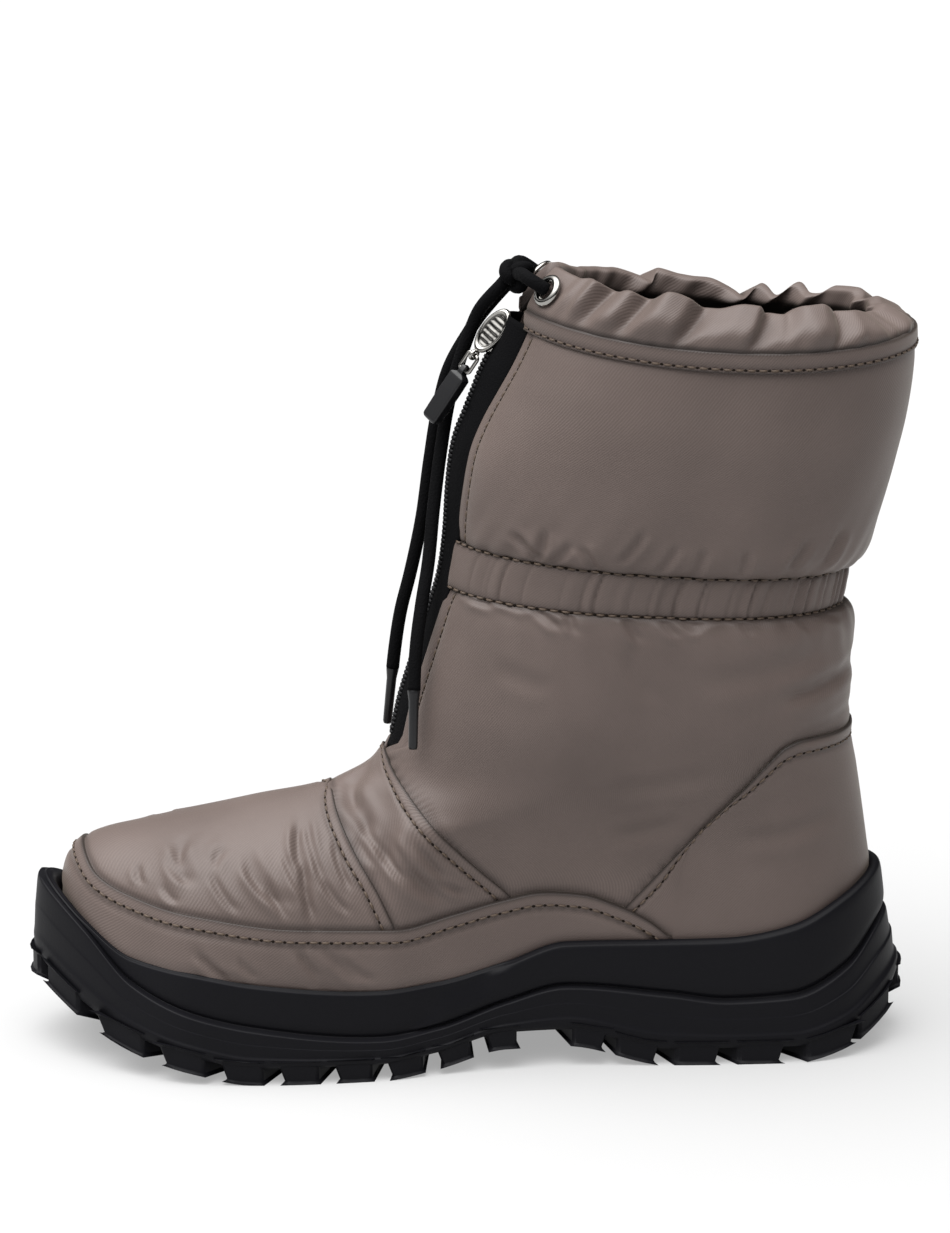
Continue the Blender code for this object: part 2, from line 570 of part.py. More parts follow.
def build_panels(finish):
    tail, tip = MUDGUARD_TOP["x"][0], MUDGUARD_TOP["x"][-1]
    below = np.linspace(BEYOND, tail, MUDGUARD_POINTS)
    outline = mudguard_edge(tail, tip) + [(BEYOND, MUDGUARD_TOP["z"][-1])]
    outline += list(zip(below, sole_top(below)))[:-1]
    panel("mudguard", rows_between(31, 81.5), MUDGUARD_THICK, outline, finish)

    below = np.linspace(-BEYOND, tail - 2, 16)
    outline = list(zip(below, sole_top(below))) + mudguard_edge(tail, COUNTER_EDGE["x"][0], SEAM_GAP)
    outline += list(zip(COUNTER_EDGE["x"], COUNTER_EDGE["z"]))[1:]
    panel("counter", rows_between(31, 118), PANEL_THICK, outline, finish)

    heights = np.linspace(VAMP_EDGE["z"][0], VAMP_EDGE["z"][-1], 12)
    seam = curve(heights, VAMP_EDGE["z"], VAMP_EDGE["x"])
    foot = np.argmax(heights > curve(seam, MUDGUARD_TOP["x"], MUDGUARD_TOP["z"]) + 2 * SEAM_GAP)
    outline = mudguard_edge(seam[foot], tip, SEAM_GAP)[::-1]
    outline += list(zip(seam, heights))[foot:] + [(tip, heights[-1])]
    panel("vamp", rows_between(45, 101.5), VAMP_THICK, outline, finish)

    outline = list(zip(seam - SEAM_GAP, heights))[foot:]
    heights = np.linspace(INSTEP_EDGE["z"][-1], INSTEP_EDGE["z"][0], 10)
    outline += list(zip(curve(heights, INSTEP_EDGE["z"], INSTEP_EDGE["x"]), heights))
    outline += mudguard_edge(INSTEP_EDGE["x"][0], seam[foot] - SEAM_GAP, SEAM_GAP)
    panel("instep_panel", rows_between(45, 104), PANEL_THICK, outline, finish)


def build_upper(finish):
    make_mesh("upper", *skin_wall(NET_ROWS, -WALL, 0.0), finish)
    make_mesh("collar_strip", *skin_wall(STRIP_ROWS, GAP, GAP + STRIP_THICK), finish)


def collar_frame(turn):
    """Points of the seam and level directions out of the collar there."""
    seam = skin(turn, np.ones_like(turn))
    out = skin(turn, np.ones_like(turn), 1.0) - seam
    out[..., 2] = 0
    return seam, out / np.linalg.norm(out, axis=-1, keepdims=True)


def collar_height(turn):
    return curve(np.mod(turn, FULL_TURN), COLLAR_HEIGHTS["turn"], COLLAR_HEIGHTS["height"])


def collar_point(turn, out, up):
    """A point of the collar: out from the seam and up by a share of its height, with the gathers."""
    seam, outward = collar_frame(turn)
    calm = smooth((np.abs(turn - math.pi) - 0.25) / 0.35)
    wave = np.cos(GATHERS * turn + GATHER_WANDER * np.sin(3 * turn + 1)) * calm * smooth(up / 0.6)
    place = seam + outward * (out + GATHER_OUT * wave)[..., None]
    place[..., 2] += GAP + up * collar_height(turn) + GATHER_UP * wave * up
    return place


def build_collar(finish):
    gap = slit_turn(np.array([1.0]), SLIT_HALF)[0]
    turn = np.linspace(math.pi + gap, 3 * math.pi - gap, 2 * COLLAR_COLUMNS)
    turn = np.mod(turn, FULL_TURN)
    section = np.column_stack([COLLAR_SECTION["out"], COLLAR_SECTION["up"]])
    rings = np.array([collar_point(turn, np.full_like(turn, o), np.full_like(turn, u)) for o, u in section])
    rings = rings.transpose(1, 0, 2)
    count = len(section)
    points = rings.reshape(-1, 3)
    i, j = np.meshgrid(np.arange(len(turn) - 1), np.arange(count), indexing="ij")
    a, b = (i * count + j).ravel(), (i * count + (j + 1) % count).ravel()
    faces = np.stack([a, b, b + count, a + count], 1).tolist()
    last = len(points) - count
    fan = [[0, k, k + 1] for k in range(1, count - 1)]
    faces += fan + [[last + k for k in f[::-1]] for f in fan]
    make_mesh("collar", points, faces, finish)


def looped(rings):
    """Points and faces of a closed loop of rings, such as a washer or a link."""
    rows, count = rings.shape[:2]
    i, j = np.meshgrid(np.arange(rows), np.arange(count), indexing="ij")
    after, beside = (i + 1) % rows, (j + 1) % count
    quads = np.stack([i * count + j, i * count + beside, after * count + beside, after * count + j], -1)
    return rings.reshape(-1, 3), triangles(quads.reshape(-1, 4))


def unit(vector):
    return np.asarray(vector, float) / np.linalg.norm(vector)


def crossing(axis):
    """Two directions square to an axis and to each other."""
    side = unit(np.cross(axis, (0, 0, 1) if abs(axis[2]) < 0.9 else (1, 0, 0)))
    return side, np.cross(axis, side)


def turned(at, axis, radius, along, sides):
    """Rings of a shape turned about an axis, one ring for each radius and place along it."""
    side, up = crossing(axis)
    angle = FULL_TURN * np.arange(sides) / sides
    circle = np.cos(angle)[:, None] * side + np.sin(angle)[:, None] * up
    return at + np.asarray(radius)[:, None, None] * circle + np.asarray(along)[:, None, None] * axis


def washer(at, axis, radius, along):
    """A ring whose section is given by radii and places along its axis."""
    return looped(turned(at, axis, radius, along, WASHER_SIDES))


def flat_washer(at, axis, hole, radius, thick):
    return washer(at, axis, (hole, radius, radius, hole), np.array([-1, -1, 1, 1]) * thick / 2)


def both_sides(half):
    """A whole outline from its half: down one side and back up the other."""
    return np.concatenate([half, half[-2:0:-1] * (-1, 1)])


def zip_strip(name, heights, half, low, high, finish):
    """A strip down the middle of the zip, between two distances from the skin."""
    levels = level_at(np.array(heights))
    turns = math.pi + slit_turn(levels, half)[:, None] * np.array([-1, 0, 1.0])[None, :]
    make_mesh(name, *wall(skin(turns, levels[:, None], high), skin(turns, levels[:, None], low)), finish)


def zip_frame(z, lift=0.0, tilt=0.0, swing=0.0):
    """A place lifted off the zip's middle, with the directions across, down and out.

    They are tilted forwards, then swung about the way down.
    """
    here = np.array([front_x(z), SHAFT_CENTRE, z])
    down = unit((front_x(z - 5) - front_x(z), 0, -5))
    across = np.array([0, 1.0, 0])
    out = np.cross(down, across)
    tilted = down * math.cos(tilt) + out * math.sin(tilt)
    swung = across * math.cos(swing) - np.cross(tilted, across) * math.sin(swing)
    return here + out * lift, np.array([swung, tilted, np.cross(tilted, swung)])


def in_frame(frame, flat, out):
    """World points from an outline across and down a frame, at a distance out of it."""
    at, directions = frame
    return at + flat @ directions[:2] + out * directions[2]


def build_zip(cloth, dark, metal):
    zip_strip("zip_tape", TAPE_ROWS, SLIT_HALF - TAPE_GAP, -GAP - TAPE_THICK, -GAP, cloth)
    rows = [TEETH_FOOT, *(row for row in TAPE_ROWS if row > TEETH_FOOT)]
    zip_strip("zip_teeth", rows, TEETH_HALF, 0.0, TEETH_PROUD, dark)
    low = zip_frame(SLIDER_Z, TEETH_PROUD + GAP)
    high = zip_frame(SLIDER_Z, CAP_LIFT, CAP_TILT, CAP_SWING)
    outline = both_sides(np.column_stack([SLIDER_OUTLINE["across"], SLIDER_OUTLINE["down"]]))
    rings = [in_frame(low, outline, 0.0), in_frame(high, outline, -GAP)]
    make_mesh("zip_slider", *closed_form(np.array(rings)), metal)

    angle = FULL_TURN * np.arange(CAP_SIDES) / CAP_SIDES
    oval = np.column_stack([CAP_WIDTH / 2 * np.sin(angle), -CAP_LENGTH / 2 * np.cos(angle)])
    rings = [in_frame(high, oval * share, out) for share, out in zip(*CAP_SECTION.values())]
    cap = make_mesh("slider_cap", *closed_form(np.array(rings)), metal)
    eye = in_frame(high, np.array([0, EYE_DOWN]), EYE_OUT)
    axis = high[1][0]
    boolean(cap, helper("eye_form", *flat_washer(eye, axis, EYE_HOLE, EYE_RADIUS, EYE_THICK)), "UNION")
    return eye, axis


def build_pull(eye, across, metal, plastic):
    """The hanging pull, made about its hinge: the link's upper bar lies in the eye."""
    hinge = bpy.data.objects.new("pull_hinge", None)
    hinge.location = eye * METRES
    bpy.context.scene.collection.objects.link(hinge)
    hang = zip_frame(SLIDER_Z)[1][1]
    hang = unit(hang - across * (hang @ across))
    out = np.cross(hang, across)

    corner = np.linspace(0, math.pi / 2, 4)
    bend = np.column_stack([np.sin(corner), 1 - np.cos(corner)]) * LINK_CORNER
    half = np.concatenate([[(0, 0)], bend + (LINK_HALF - LINK_CORNER, 0)])
    half = np.concatenate([half, half[::-1] * (1, -1) + (0, LINK_LENGTH)])
    path = both_sides(half) @ np.array([across, hang])
    along = np.roll(path, -1, axis=0) - np.roll(path, 1, axis=0)
    side = np.cross(along, out)
    side /= np.linalg.norm(side, axis=1, keepdims=True)
    angle = FULL_TURN * np.arange(WIRE_SIDES) / WIRE_SIDES
    section = np.cos(angle)[None, :, None] * side[:, None] + np.sin(angle)[None, :, None] * out
    link = make_mesh("pull_link", *looped(path[:, None] + WIRE * section), metal)

    rings = []
    for down, wide, thick in zip(*TAB_SECTIONS.values()):
        corner, shoulder, flank = wide * TAB_CHAMFER, thick * TAB_RIDGE, thick * TAB_CHAMFER / 2
        facets = both_sides(np.array([(0, thick), (corner, shoulder), (wide, flank),
                                      (wide, -flank), (corner, -shoulder), (0, -thick)]))
        rings.append(down * hang + facets @ np.array([across, out]))
    tab = make_mesh("pull_tab", *closed_form(np.array(rings)), plastic)
    neck = flat_washer(hang * LINK_LENGTH, across, NECK_HOLE, NECK_RADIUS, NECK_THICK)
    neck = helper("neck_form", *neck)
    boolean(tab, neck, "UNION")
    for piece in (link, tab, neck):
        piece.parent = hinge


def flowing(route):
    """Points read from a smooth curve through a route: each slope comes from the neighbours on both sides."""
    route = np.array(route, float)
    run = np.concatenate([[0], np.cumsum(np.linalg.norm(np.diff(route, axis=0), axis=1))])
    slope = np.gradient(route, run, axis=0, edge_order=2)
    at = np.linspace(0, run[-1], max(4, round(run[-1] / CORD_STEP) + 1))
    i = np.clip(np.searchsorted(run, at, side="right") - 1, 0, len(run) - 2)
    h = np.diff(run)[i][:, None]
    t = (at - run[i])[:, None] / h
    ends = (2 * t**3 - 3 * t**2 + 1) * route[i] + (3 * t**2 - 2 * t**3) * route[i + 1]
    return ends + h * ((t**3 - 2 * t**2 + t) * slope[i] + (t**3 - t**2) * slope[i + 1])


def cord(name, points, finish):
    data = bpy.data.curves.new(name, "CURVE")
    data.dimensions = "3D"
    data.bevel_depth = CORD_DIAMETER / 2 * METRES
    data.bevel_resolution = 2
    data.use_fill_caps = True
    spline = data.splines.new("POLY")
    spline.points.add(len(points) - 1)
    for knot, place in zip(spline.points, points * METRES):
        knot.co = (*place, 1)
    data.materials.append(finish)
    bpy.context.scene.collection.objects.link(bpy.data.objects.new(name, data))


def build_eyelet(name, turn, finish):
    """A domed ring on the collar; gives its place and the direction out of it."""
    turn, up = np.array([turn]), np.array([EYELET_UP])
    low, high = COLLAR_SECTION["up"][1:3]
    out = np.interp(EYELET_UP, (low, high), COLLAR_SECTION["out"][1:3])
    near = [collar_point(turn + step, np.array([out]), up)[0] for step in (-0.05, 0.05)]
    below, above = [collar_point(turn, np.array([o]), np.array([u]))[0]
                    for o, u in zip(COLLAR_SECTION["out"][1:3], (low, high))]
    axis = unit(np.cross(above - below, near[1] - near[0]))
    at = (near[0] + near[1]) / 2 + axis * EYELET_STAND
    make_mesh(name, *washer(at, axis, EYELET_SECTION["radius"], EYELET_SECTION["out"]), finish)
    return at, axis


def build_knot(finish):
    """A ball of three strands: its radius swells and sinks along lines that wind round it."""
    polar = np.linspace(0.12, math.pi - 0.12, 9)[:, None]
    angle = ring_turns(8)[None, :]
    radius = KNOT_RADIUS + KNOT_LUMP * np.cos(3 * angle + 4 * polar) * np.sin(polar)
    flat = np.sin(polar) * radius
    ball = np.stack([flat * np.cos(angle), flat * np.sin(angle), np.cos(polar) * radius], -1)
    make_mesh("drawcord_knot", *closed_form(np.array(KNOT_AT) + ball), finish)


def build_drawcord(metal, black, plastic):
    build_knot(black)
    knot = np.array(KNOT_AT)
    reach = KNOT_RADIUS + KNOT_LUMP + KNOT_CLEAR
    for side, hand in (("outer", -1), ("inner", 1)):
        at, out = build_eyelet("eyelet_" + side, math.pi + hand * EYELET_TURN, metal)
        toward = unit(LEAD_SIDES[side])
        lead = [at + out * far for far in (LEAD_START, LEAD_STRAIGHT)]
        lead += [knot + toward * far for far in (LEAD_APPROACH, reach)]
        cord("drawcord_lead_" + side, flowing(lead), black)
        points = flowing((knot + unit(END_SIDES[side]) * reach, *END_ROUTES[side]))
        cord("drawcord_end_" + side, points, black)
        along = unit(points[-1] - points[-2])
        radius, places = AGLET_SECTION["radius"], AGLET_SECTION["along"]
        rings = turned(points[-1] + along * GAP, along, radius, places, AGLET_SIDES)
        make_mesh("aglet_" + side, *closed_form(rings), plastic)


def main():
    for old in list(bpy.data.objects):
        bpy.data.objects.remove(old)
    nylon = material("taupe nylon", (0.145, 0.113, 0.099), 0.5)
    rubber = material("black rubber", (0.012, 0.012, 0.013), 0.45)
    felt = material("footbed felt", (0.05, 0.045, 0.042), 0.9)
    webbing = material("black webbing", (0.012, 0.012, 0.014), 0.8)
    coil = material("zip coil", (0.015, 0.015, 0.017), 0.5)
    chrome = material("chrome", (0.6, 0.6, 0.6), 0.2, 1.0)
    plastic = material("black plastic", (0.012, 0.012, 0.013), 0.35)
    build_sole(rubber)
    build_insole(felt)
    build_upper(nylon)
    build_panels(nylon)
    build_collar(nylon)
    eye, axis = build_zip(webbing, coil, chrome)
    build_pull(eye, axis, chrome, plastic)
    build_drawcord(chrome, webbing, plastic)


main()
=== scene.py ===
"""Padded winter boot as it looks: cloth, stitching, rubber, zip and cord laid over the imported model.

A left boot. +X runs to the toe, +Y to the wearer's left (the outer side), +Z up. Shape tables are in
millimetres. The upper is one function of a turn around the boot (0 at the heel, pi at the toe or zip)
and a level (0 at the footbed, 1 at the collar seam), and every cloth piece is cut from it.
"""
import math

import bpy
import numpy as np
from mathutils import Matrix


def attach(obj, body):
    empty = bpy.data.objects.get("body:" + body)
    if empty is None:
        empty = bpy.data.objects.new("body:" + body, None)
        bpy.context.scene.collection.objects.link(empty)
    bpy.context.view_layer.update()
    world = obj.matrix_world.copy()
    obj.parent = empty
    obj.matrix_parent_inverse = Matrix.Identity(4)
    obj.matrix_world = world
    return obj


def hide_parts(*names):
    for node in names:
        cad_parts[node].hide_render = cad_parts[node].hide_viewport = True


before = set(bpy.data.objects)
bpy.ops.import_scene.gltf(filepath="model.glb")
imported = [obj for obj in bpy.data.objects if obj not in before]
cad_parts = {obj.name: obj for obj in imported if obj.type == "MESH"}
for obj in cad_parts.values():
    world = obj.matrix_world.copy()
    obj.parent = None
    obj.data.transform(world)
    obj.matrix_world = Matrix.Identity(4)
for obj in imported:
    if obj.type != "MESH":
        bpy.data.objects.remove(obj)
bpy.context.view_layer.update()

bl_info = {
    "name": "Padded winter boot",
    "version": (1, 0, 0),
    "blender": (4, 5, 0),
    "location": "3D View > Sidebar > Boot",
    "description": "Builds the finished surfaces of a padded winter boot, piece by piece",
    "category": "Add Mesh",
}

MM = 0.001
FULL_TURN = 2 * math.pi
TINY = 1e-9
EDGE_STEPS = 600


def table(columns, *rows):
    """A dictionary of columns from rows of numbers."""
    return dict(zip(columns.split(), np.array(rows, float).T))


# Sole
SOLE_REAR, SOLE_FRONT = -143.2, 148.3
TOE_ROUND, HEEL_ROUND = 58.0, 40.0
LUG_HEIGHT, LUG_SINK = 5.5, 2.5
SOLE = table(
    "x      centre  half  tread  tier   rim   seat",
    (-145, 0.5, 33.0, 17.0, 46.0, 60.0, 33.0),
    (-135, 0.7, 35.5, 10.0, 42.0, 59.0, 33.0),
    (-122, 1.0, 37.0, 3.5, 30.0, 54.0, 33.0),
    (-103, 1.2, 37.5, 0.0, 22.3, 46.0, 32.6),
    (-82, 1.6, 37.3, 0.0, 21.3, 42.4, 32.2),
    (-62, 2.5, 35.8, 0.0, 23.8, 42.0, 31.6),
    (-28, 4.0, 33.0, 7.0, 27.0, 41.5, 29.0),
    (-8, 3.8, 35.0, 7.0, 22.5, 35.5, 26.5),
    (15, 2.5, 40.5, 2.0, 15.5, 30.3, 23.5),
    (33, 1.4, 46.0, 0.0, 13.4, 29.2, 22.0),
    (76, -1.0, 50.0, 0.0, 18.2, 32.8, 21.6),
    (95, -2.8, 50.0, 3.5, 22.5, 36.0, 23.0),
    (115, -5.0, 46.0, 8.0, 30.5, 38.0, 26.0),
    (130, -6.8, 41.5, 14.0, 45.0, 46.5, 29.0),
    (145, -8.0, 35.0, 23.0, 57.0, 58.5, 31.0),
)
# The side of the sole, from the tread up: stage 0 runs from tread to tier, stage 1 from tier to rim
SIDE_STEPS = table(
    "stage share inset heel toe recess",
    (0, 0.00, 1.3, 1.2, 1.6, 0.0),
    (0, 0.10, 0.6, 0.4, 0.7, 0.0),
    (0, 0.24, 0.4, 0.6, 0.4, 0.0),
    (0, 0.34, 0.9, 1.9, 0.7, 0.0),
    (0, 0.60, 0.9, 2.6, 1.1, 0.0),
    (0, 0.66, 1.1, 3.4, 1.3, 0.0),
    (0, 0.90, 1.2, 4.4, 2.0, 0.0),
    (0, 0.97, 1.6, 5.0, 2.5, 0.0),
    (1, 0.03, 3.6, 6.8, 4.4, 0.4),
    (1, 0.12, 2.4, 5.8, 4.5, 1.2),
    (1, 0.30, 1.9, 5.6, 4.5, 1.4),
    (1, 0.80, 2.0, 6.6, 5.0, 1.4),
    (1, 0.95, 2.5, 7.2, 5.4, 1.1),
    (1, 1.00, 3.6, 8.0, 6.0, 0.8),
)
ARCH_STEP_LOW, ARCH_STEP_HIGH, ARCH_STEP_RUN = 22.0, -14.0, 8.0
UNDER_INSET = 12.0
CUP_WALL = 6.1
# The cup's lip over the rim: inset and how far below the rim
CUP_LIP = ((4.6, -0.5), (CUP_WALL, 0.0), (CUP_WALL + 0.2, 4.0))
LUG_BEVEL, SHARP = 1.0, math.radians(35)
FOREFOOT_LUGS, FIRST_LUG, LUG_PITCH, PITCH_CHANGE = 8, 118.0, 20.5, 0.37
LUG_LENGTH, LUG_SHRINK, LUG_DEPTH, LUG_SLANT, LUG_INSET = 12.8, 0.6, 19.0, 3.0, 0.9
HEEL_LUGS = table("x length", (-35, 9.5), (-51, 12.0), (-71, 13.0), (-92, 13.5), (-116, 15.0))
TIP_LUGS = table(
    "turn span",
    (math.pi, 0.16), (math.pi - 0.36, 0.1), (math.pi + 0.36, 0.1), (0.0, 0.11), (0.37, 0.11), (-0.37, 0.11),
)
MIDDLE_LUGS = table(
    "x    length width",
    (108, 11.0, 18.0), (88, 11.0, 30.0), (69, 11.0, 34.0), (51, 10.5, 34.0), (33, 10.0, 28.0),
    (16, 9.0, 18.0), (-61, 9.0, 16.0), (-81, 10.0, 18.0), (-102, 10.0, 16.0),
)

# Side view of the upper: toe, vamp ridge, throat and shaft front (drawn on past the collar), then the back
FRONT = table(
    "x      z",
    (137.5, 22.0), (137.2, 40.0), (136.6, 52.0), (135.0, 60.0), (130.5, 66.3), (122.0, 70.0),
    (110.0, 72.6), (91.0, 77.0), (72.0, 81.5), (52.0, 86.0), (42.0, 90.5), (34.0, 95.5),
    (30.0, 101.5), (25.5, 119.0), (20.0, 136.5), (15.5, 150.5), (12.3, 161.0), (9.8, 175.0),
    (8.0, 190.0), (5.5, 204.0), (1.5, 214.5), (-3.5, 224.0), (-9.0, 234.0), (-14.0, 245.0),
    (-16.0, 250.0), (-40.0, 340.0), (-150.0, 600.0),
)
BACK = table(
    "z     x       round",
    (30, -130.5, 36.0), (45, -131.8, 36.0), (56, -131.8, 36.0), (68, -130.5, 38.0),
    (81, -128.6, 41.0), (93, -126.6, 44.0), (105, -124.8, 48.0), (120, -124.8, 53.0),
    (135, -125.4, 58.0), (150, -126.6, 60.0), (165, -129.2, 61.0), (182, -134.0, 62.0),
    (199, -138.4, 62.0), (213, -141.4, 62.0), (226, -143.0, 62.0), (250, -144.4, 62.0),
)
SHAFT = table(
    "z    half",
    (30, 33.0), (60, 34.0), (90, 38.0), (110, 40.5), (130, 42.5), (160, 44.5), (190, 48.0),
    (215, 49.5), (250, 49.5),
)
SHAFT_ROUND, SHAFT_CENTRE = 62.0, 0.5
VAMP_ARCH = table("x round", (-150, 52.0), (20, 52.0), (60, 45.0), (100, 34.0), (140, 30.0))
FOOT_INSET, TOE_INSET, TOE_INSET_FROM, TOE_INSET_RUN = 6.5, 3.5, 95.0, 25.0
HANDOVER_LOW, HANDOVER_HIGH, HANDOVER_X, HANDOVER_RUN = 60.0, 120.0, 75.0, 60.0
# Girths: height at the front and at the back of each level line
GIRTHS = table(
    "front  back",
    (31.0, 33.0), (45.0, 44.0), (60.0, 57.0), (66.3, 66.0), (72.0, 76.0), (81.5, 88.0),
    (90.0, 98.0), (101.5, 108.0), (136.0, 130.0), (158.5, 149.5), (174.0, 162.0),
    (214.0, 204.0), (245.0, 237.5),
)
SEAT_FADE = 0.16
SEAM_SAG, SEAM_SAG_FROM = 3.5, 0.8
THROAT_Z, SLIT_HALF, SLIT_END = 101.5, 11.5, 5.0
COLLAR_SEAM = 245.0
BAND_LOW, BAND_HIGH = 158.5, 174.0
BAND_DEPTH_FRONT, BAND_DEPTH_BACK, BAND_SINK = 1.2, 5.2, 0.4
# Gathers of the band: pitch at the front, and by how much it is closer at the back
GATHER_FRONT, GATHER_CLOSER = 10.0, 3.6
LINING_IN, LINING_THICK = 6.2, 1.0
# The footbed's rings: level, and inset from the upper's outside
FOOTBED_RINGS = ((0.002, 7.5), (0.03, 7.5), (0.036, 8.6))

# Edges of the panels in side view
MUDGUARD_TOP = table(
    "x     z",
    (-62, 43.4), (-56, 48.3), (-46, 53.6), (-33, 57.9), (-20, 58.9), (-6, 56.8), (10, 53.3),
    (27, 50.1), (60, 50.7), (92, 54.2), (112, 57.2), (125, 61.5), (131, 69.0), (134, 76.0),
)
COUNTER_EDGE = table(
    "x z", (-45, 50), (-59, 65.3), (-85, 93.6), (-94, 103.3), (-100, 108.2), (-106, 109.6), (-150, 107)
)
VAMP_EDGE = table("z x", (40, 25), (46, 27), (60, 33), (74, 41.5), (84, 46.5), (97, 50))
INSTEP_EDGE = table("z x", (52, -15), (59.6, -8), (67, 0), (78, 11), (90, 22), (98, 28.5), (104, 31))
# How far each layer's face stands off the skin
COUNTER_OFF, INSTEP_OFF, VAMP_OFF, MUDGUARD_OFF = 0.7, 0.7, 1.2, 1.8
CLOTH = 1.1
# Where each panel ends: x of the tails, and the front heights that the crosswise ones run between
COUNTER_TAIL, MUDGUARD_TAIL = -44.0, -63.0
INSTEP_REACH, VAMP_REACH = (44.0, 102.6), (42.0, 88.3)
RIM_TUCK = 5.0
# Panels: height and roll of the lip, hollow under the stitches, dip where another panel's edge lies over
LIP_FOOT, LIP_ROLL, HOLLOW, HOLLOW_REACH, DIP, DIP_REACH = 0.1, 0.6, 0.45, 1.1, 0.5, 1.2
LIP_SHADE, HOLLOW_SHADE, DIP_SHADE = 0.8, 0.2, 0.4
# The shaft below: its dip at the panels' edges, and how far it is lowered where the instep covers it
SHAFT_DIP, SHAFT_DIP_REACH, COVERED_DROP = 0.6, 1.3, 0.9
COUNTER_STITCH, INSTEP_STITCH, VAMP_STITCH, MUDGUARD_STITCH = 5.0, 5.6, 5.0, 5.6
BINDING, BINDING_DEEP, BINDING_STITCH, GROOVE = 6.0, 1.1, 1.2, 0.5
THREAD_SIDES = 6
# Rings of each bead of painted shade in the needle holes: share of its width, and height over the cloth in
# threads
HOLE_SHADE_RINGS = ((0.9, -0.4), (1.0, 0.12), (0.5, 0.2))
# Rows and columns of each cloth piece
GRIDS = {
    "shaft_upper": (76, 400), "shaft_lower": (104, 380), "waist_band": (20, 800), "lining": (36, 140),
    "counter_panel": (56, 240), "instep_saddle": (76, 250), "vamp_panel": (80, 380),
    "mudguard_panel": (36, 500), "collar_binding": (12, 640), "zip_tapes": (90, 21),
}

# Creases in side view: from, to, bow, width, depth
CREASES = table(
    "x0     z0     x1     z1    bow  width depth",
    (58.6, 81.0, 54.3, 50.0, 1.5, 2.2, 1.2),
    (99.9, 75.0, 94.5, 63.0, 1.0, 2.2, 1.1),
    (76.7, 71.5, 63.4, 57.5, 1.2, 2.2, 1.2),
    (35.5, 96.0, 43.5, 85.0, 1.2, 2.6, 2.4),
    (43.6, 88.0, 36.5, 78.5, -1.4, 2.6, 1.8),
    (33.0, 78.0, 13.0, 58.5, 1.5, 2.4, 1.4),
    (25.0, 87.0, 34.0, 62.0, 1.5, 2.0, 0.7),
    (94.4, 44.5, 82.7, 34.0, 0.5, 1.8, 0.5),
    (61.3, 44.5, 51.3, 30.0, 0.5, 1.8, 0.6),
    (49.7, 44.0, 39.2, 33.0, 0.5, 1.8, 0.5),
    (-43.6, 95.2, -76.4, 100.2, 1.0, 3.0, 0.5),
    (-43.9, 77.6, -65.3, 83.1, 1.0, 3.0, 0.5),
    (-84.1, 76.4, -115.7, 81.4, 1.0, 3.0, 0.5),
    (-98.0, 125.0, -127.0, 131.0, 1.0, 2.8, 1.3),
    (-103.0, 111.5, -126.0, 115.0, 1.0, 2.8, 0.9),
    (-70.0, 133.0, -116.0, 141.0, 2.0, 4.0, 0.6),
    (-5.0, 137.0, -22.0, 131.0, 1.0, 3.0, 0.6),
    (-46.0, 143.0, -56.0, 126.0, 1.0, 3.0, 0.5),
)
# Finer streaks where the cloth is drawn over the foot, and short puckers along the waist band's seams
STREAKS = table(
    "x0    z0    x1    z1",
    (93.2, 76.1, 96.7, 70.6), (96.8, 73.3, 99.2, 67.4), (102.7, 68.4, 95.8, 63.7), (83.5, 72.2, 87.3, 68.2),
    (77.5, 68.7, 67.7, 58.5), (70.3, 65.2, 64.2, 54.5), (59.4, 78.8, 60.2, 69.1), (56.4, 80.4, 52.0, 65.4),
    (58.2, 69.1, 55.9, 55.5), (52.0, 65.4, 43.6, 55.7), (64.2, 72.5, 58.5, 61.1), (111.8, 65.6, 110.4, 61.2),
    (37.3, 80.2, 24.9, 66.2),
    (28.6, 78.5, 18.9, 63.9), (21.2, 77.9, 11.5, 65.0), (43.2, 81.5, 34.5, 69.6), (14.3, 65.3, 5.6, 60.0),
    (92.7, 42.6, 83.6, 34.9), (60.2, 44.3, 53.4, 35.0), (53.0, 44.9, 41.5, 33.6), (45.9, 40.8, 35.7, 33.4),
    (79.5, 41.2, 73.7, 35.3), (88.0, 66.0, 80.0, 56.0), (104.0, 62.0, 99.0, 58.0), (48.0, 76.0, 43.0, 63.0),
)
STREAK_BOW, STREAK_WIDTH, STREAK_DEPTH = 0.6, 1.3, 0.8
PUCKERS = table(
    "x0    z0    x1    z1",
    (-17.1, 172.6, -9.5, 181.1), (-17.2, 172.2, -19.9, 183.4), (-21.2, 171.8, -28.2, 179.7),
    (-35.6, 170.0, -31.1, 178.8), (-43.4, 173.3, -51.7, 184.6), (-55.5, 169.3, -62.2, 179.4),
    (-66.8, 167.5, -70.8, 177.7), (-83.0, 167.5, -84.9, 176.5), (-99.1, 169.3, -105.7, 178.7),
    (-111.2, 168.1, -117.3, 180.1), (9.6, 159.8, -4.5, 156.8), (-1.8, 160.5, -14.9, 156.6),
    (-14.5, 159.3, -25.6, 150.8), (-26.5, 158.4, -30.5, 149.3), (-45.1, 156.7, -51.1, 146.8),
    (-56.5, 155.1, -63.8, 148.6), (-63.0, 154.1, -70.9, 150.2), (-77.0, 154.3, -68.0, 151.6),
    (-81.7, 155.4, -88.0, 147.5), (-101.2, 157.6, -108.0, 146.8), (-111.7, 156.0, -119.7, 146.7),
)
PUCKER_BOW, PUCKER_WIDTH, PUCKER_DEPTH = 0.5, 1.5, 1.1
# Section of a crease: place across it in widths, and height in depths
CREASE_WAVES, CREASE_FADE = ((0, -1.0), (1.7, 0.6), (-1.7, 0.35)), 0.35
INNER_SHIFT, DRIFT_DEPTH = 7.0, 0.25
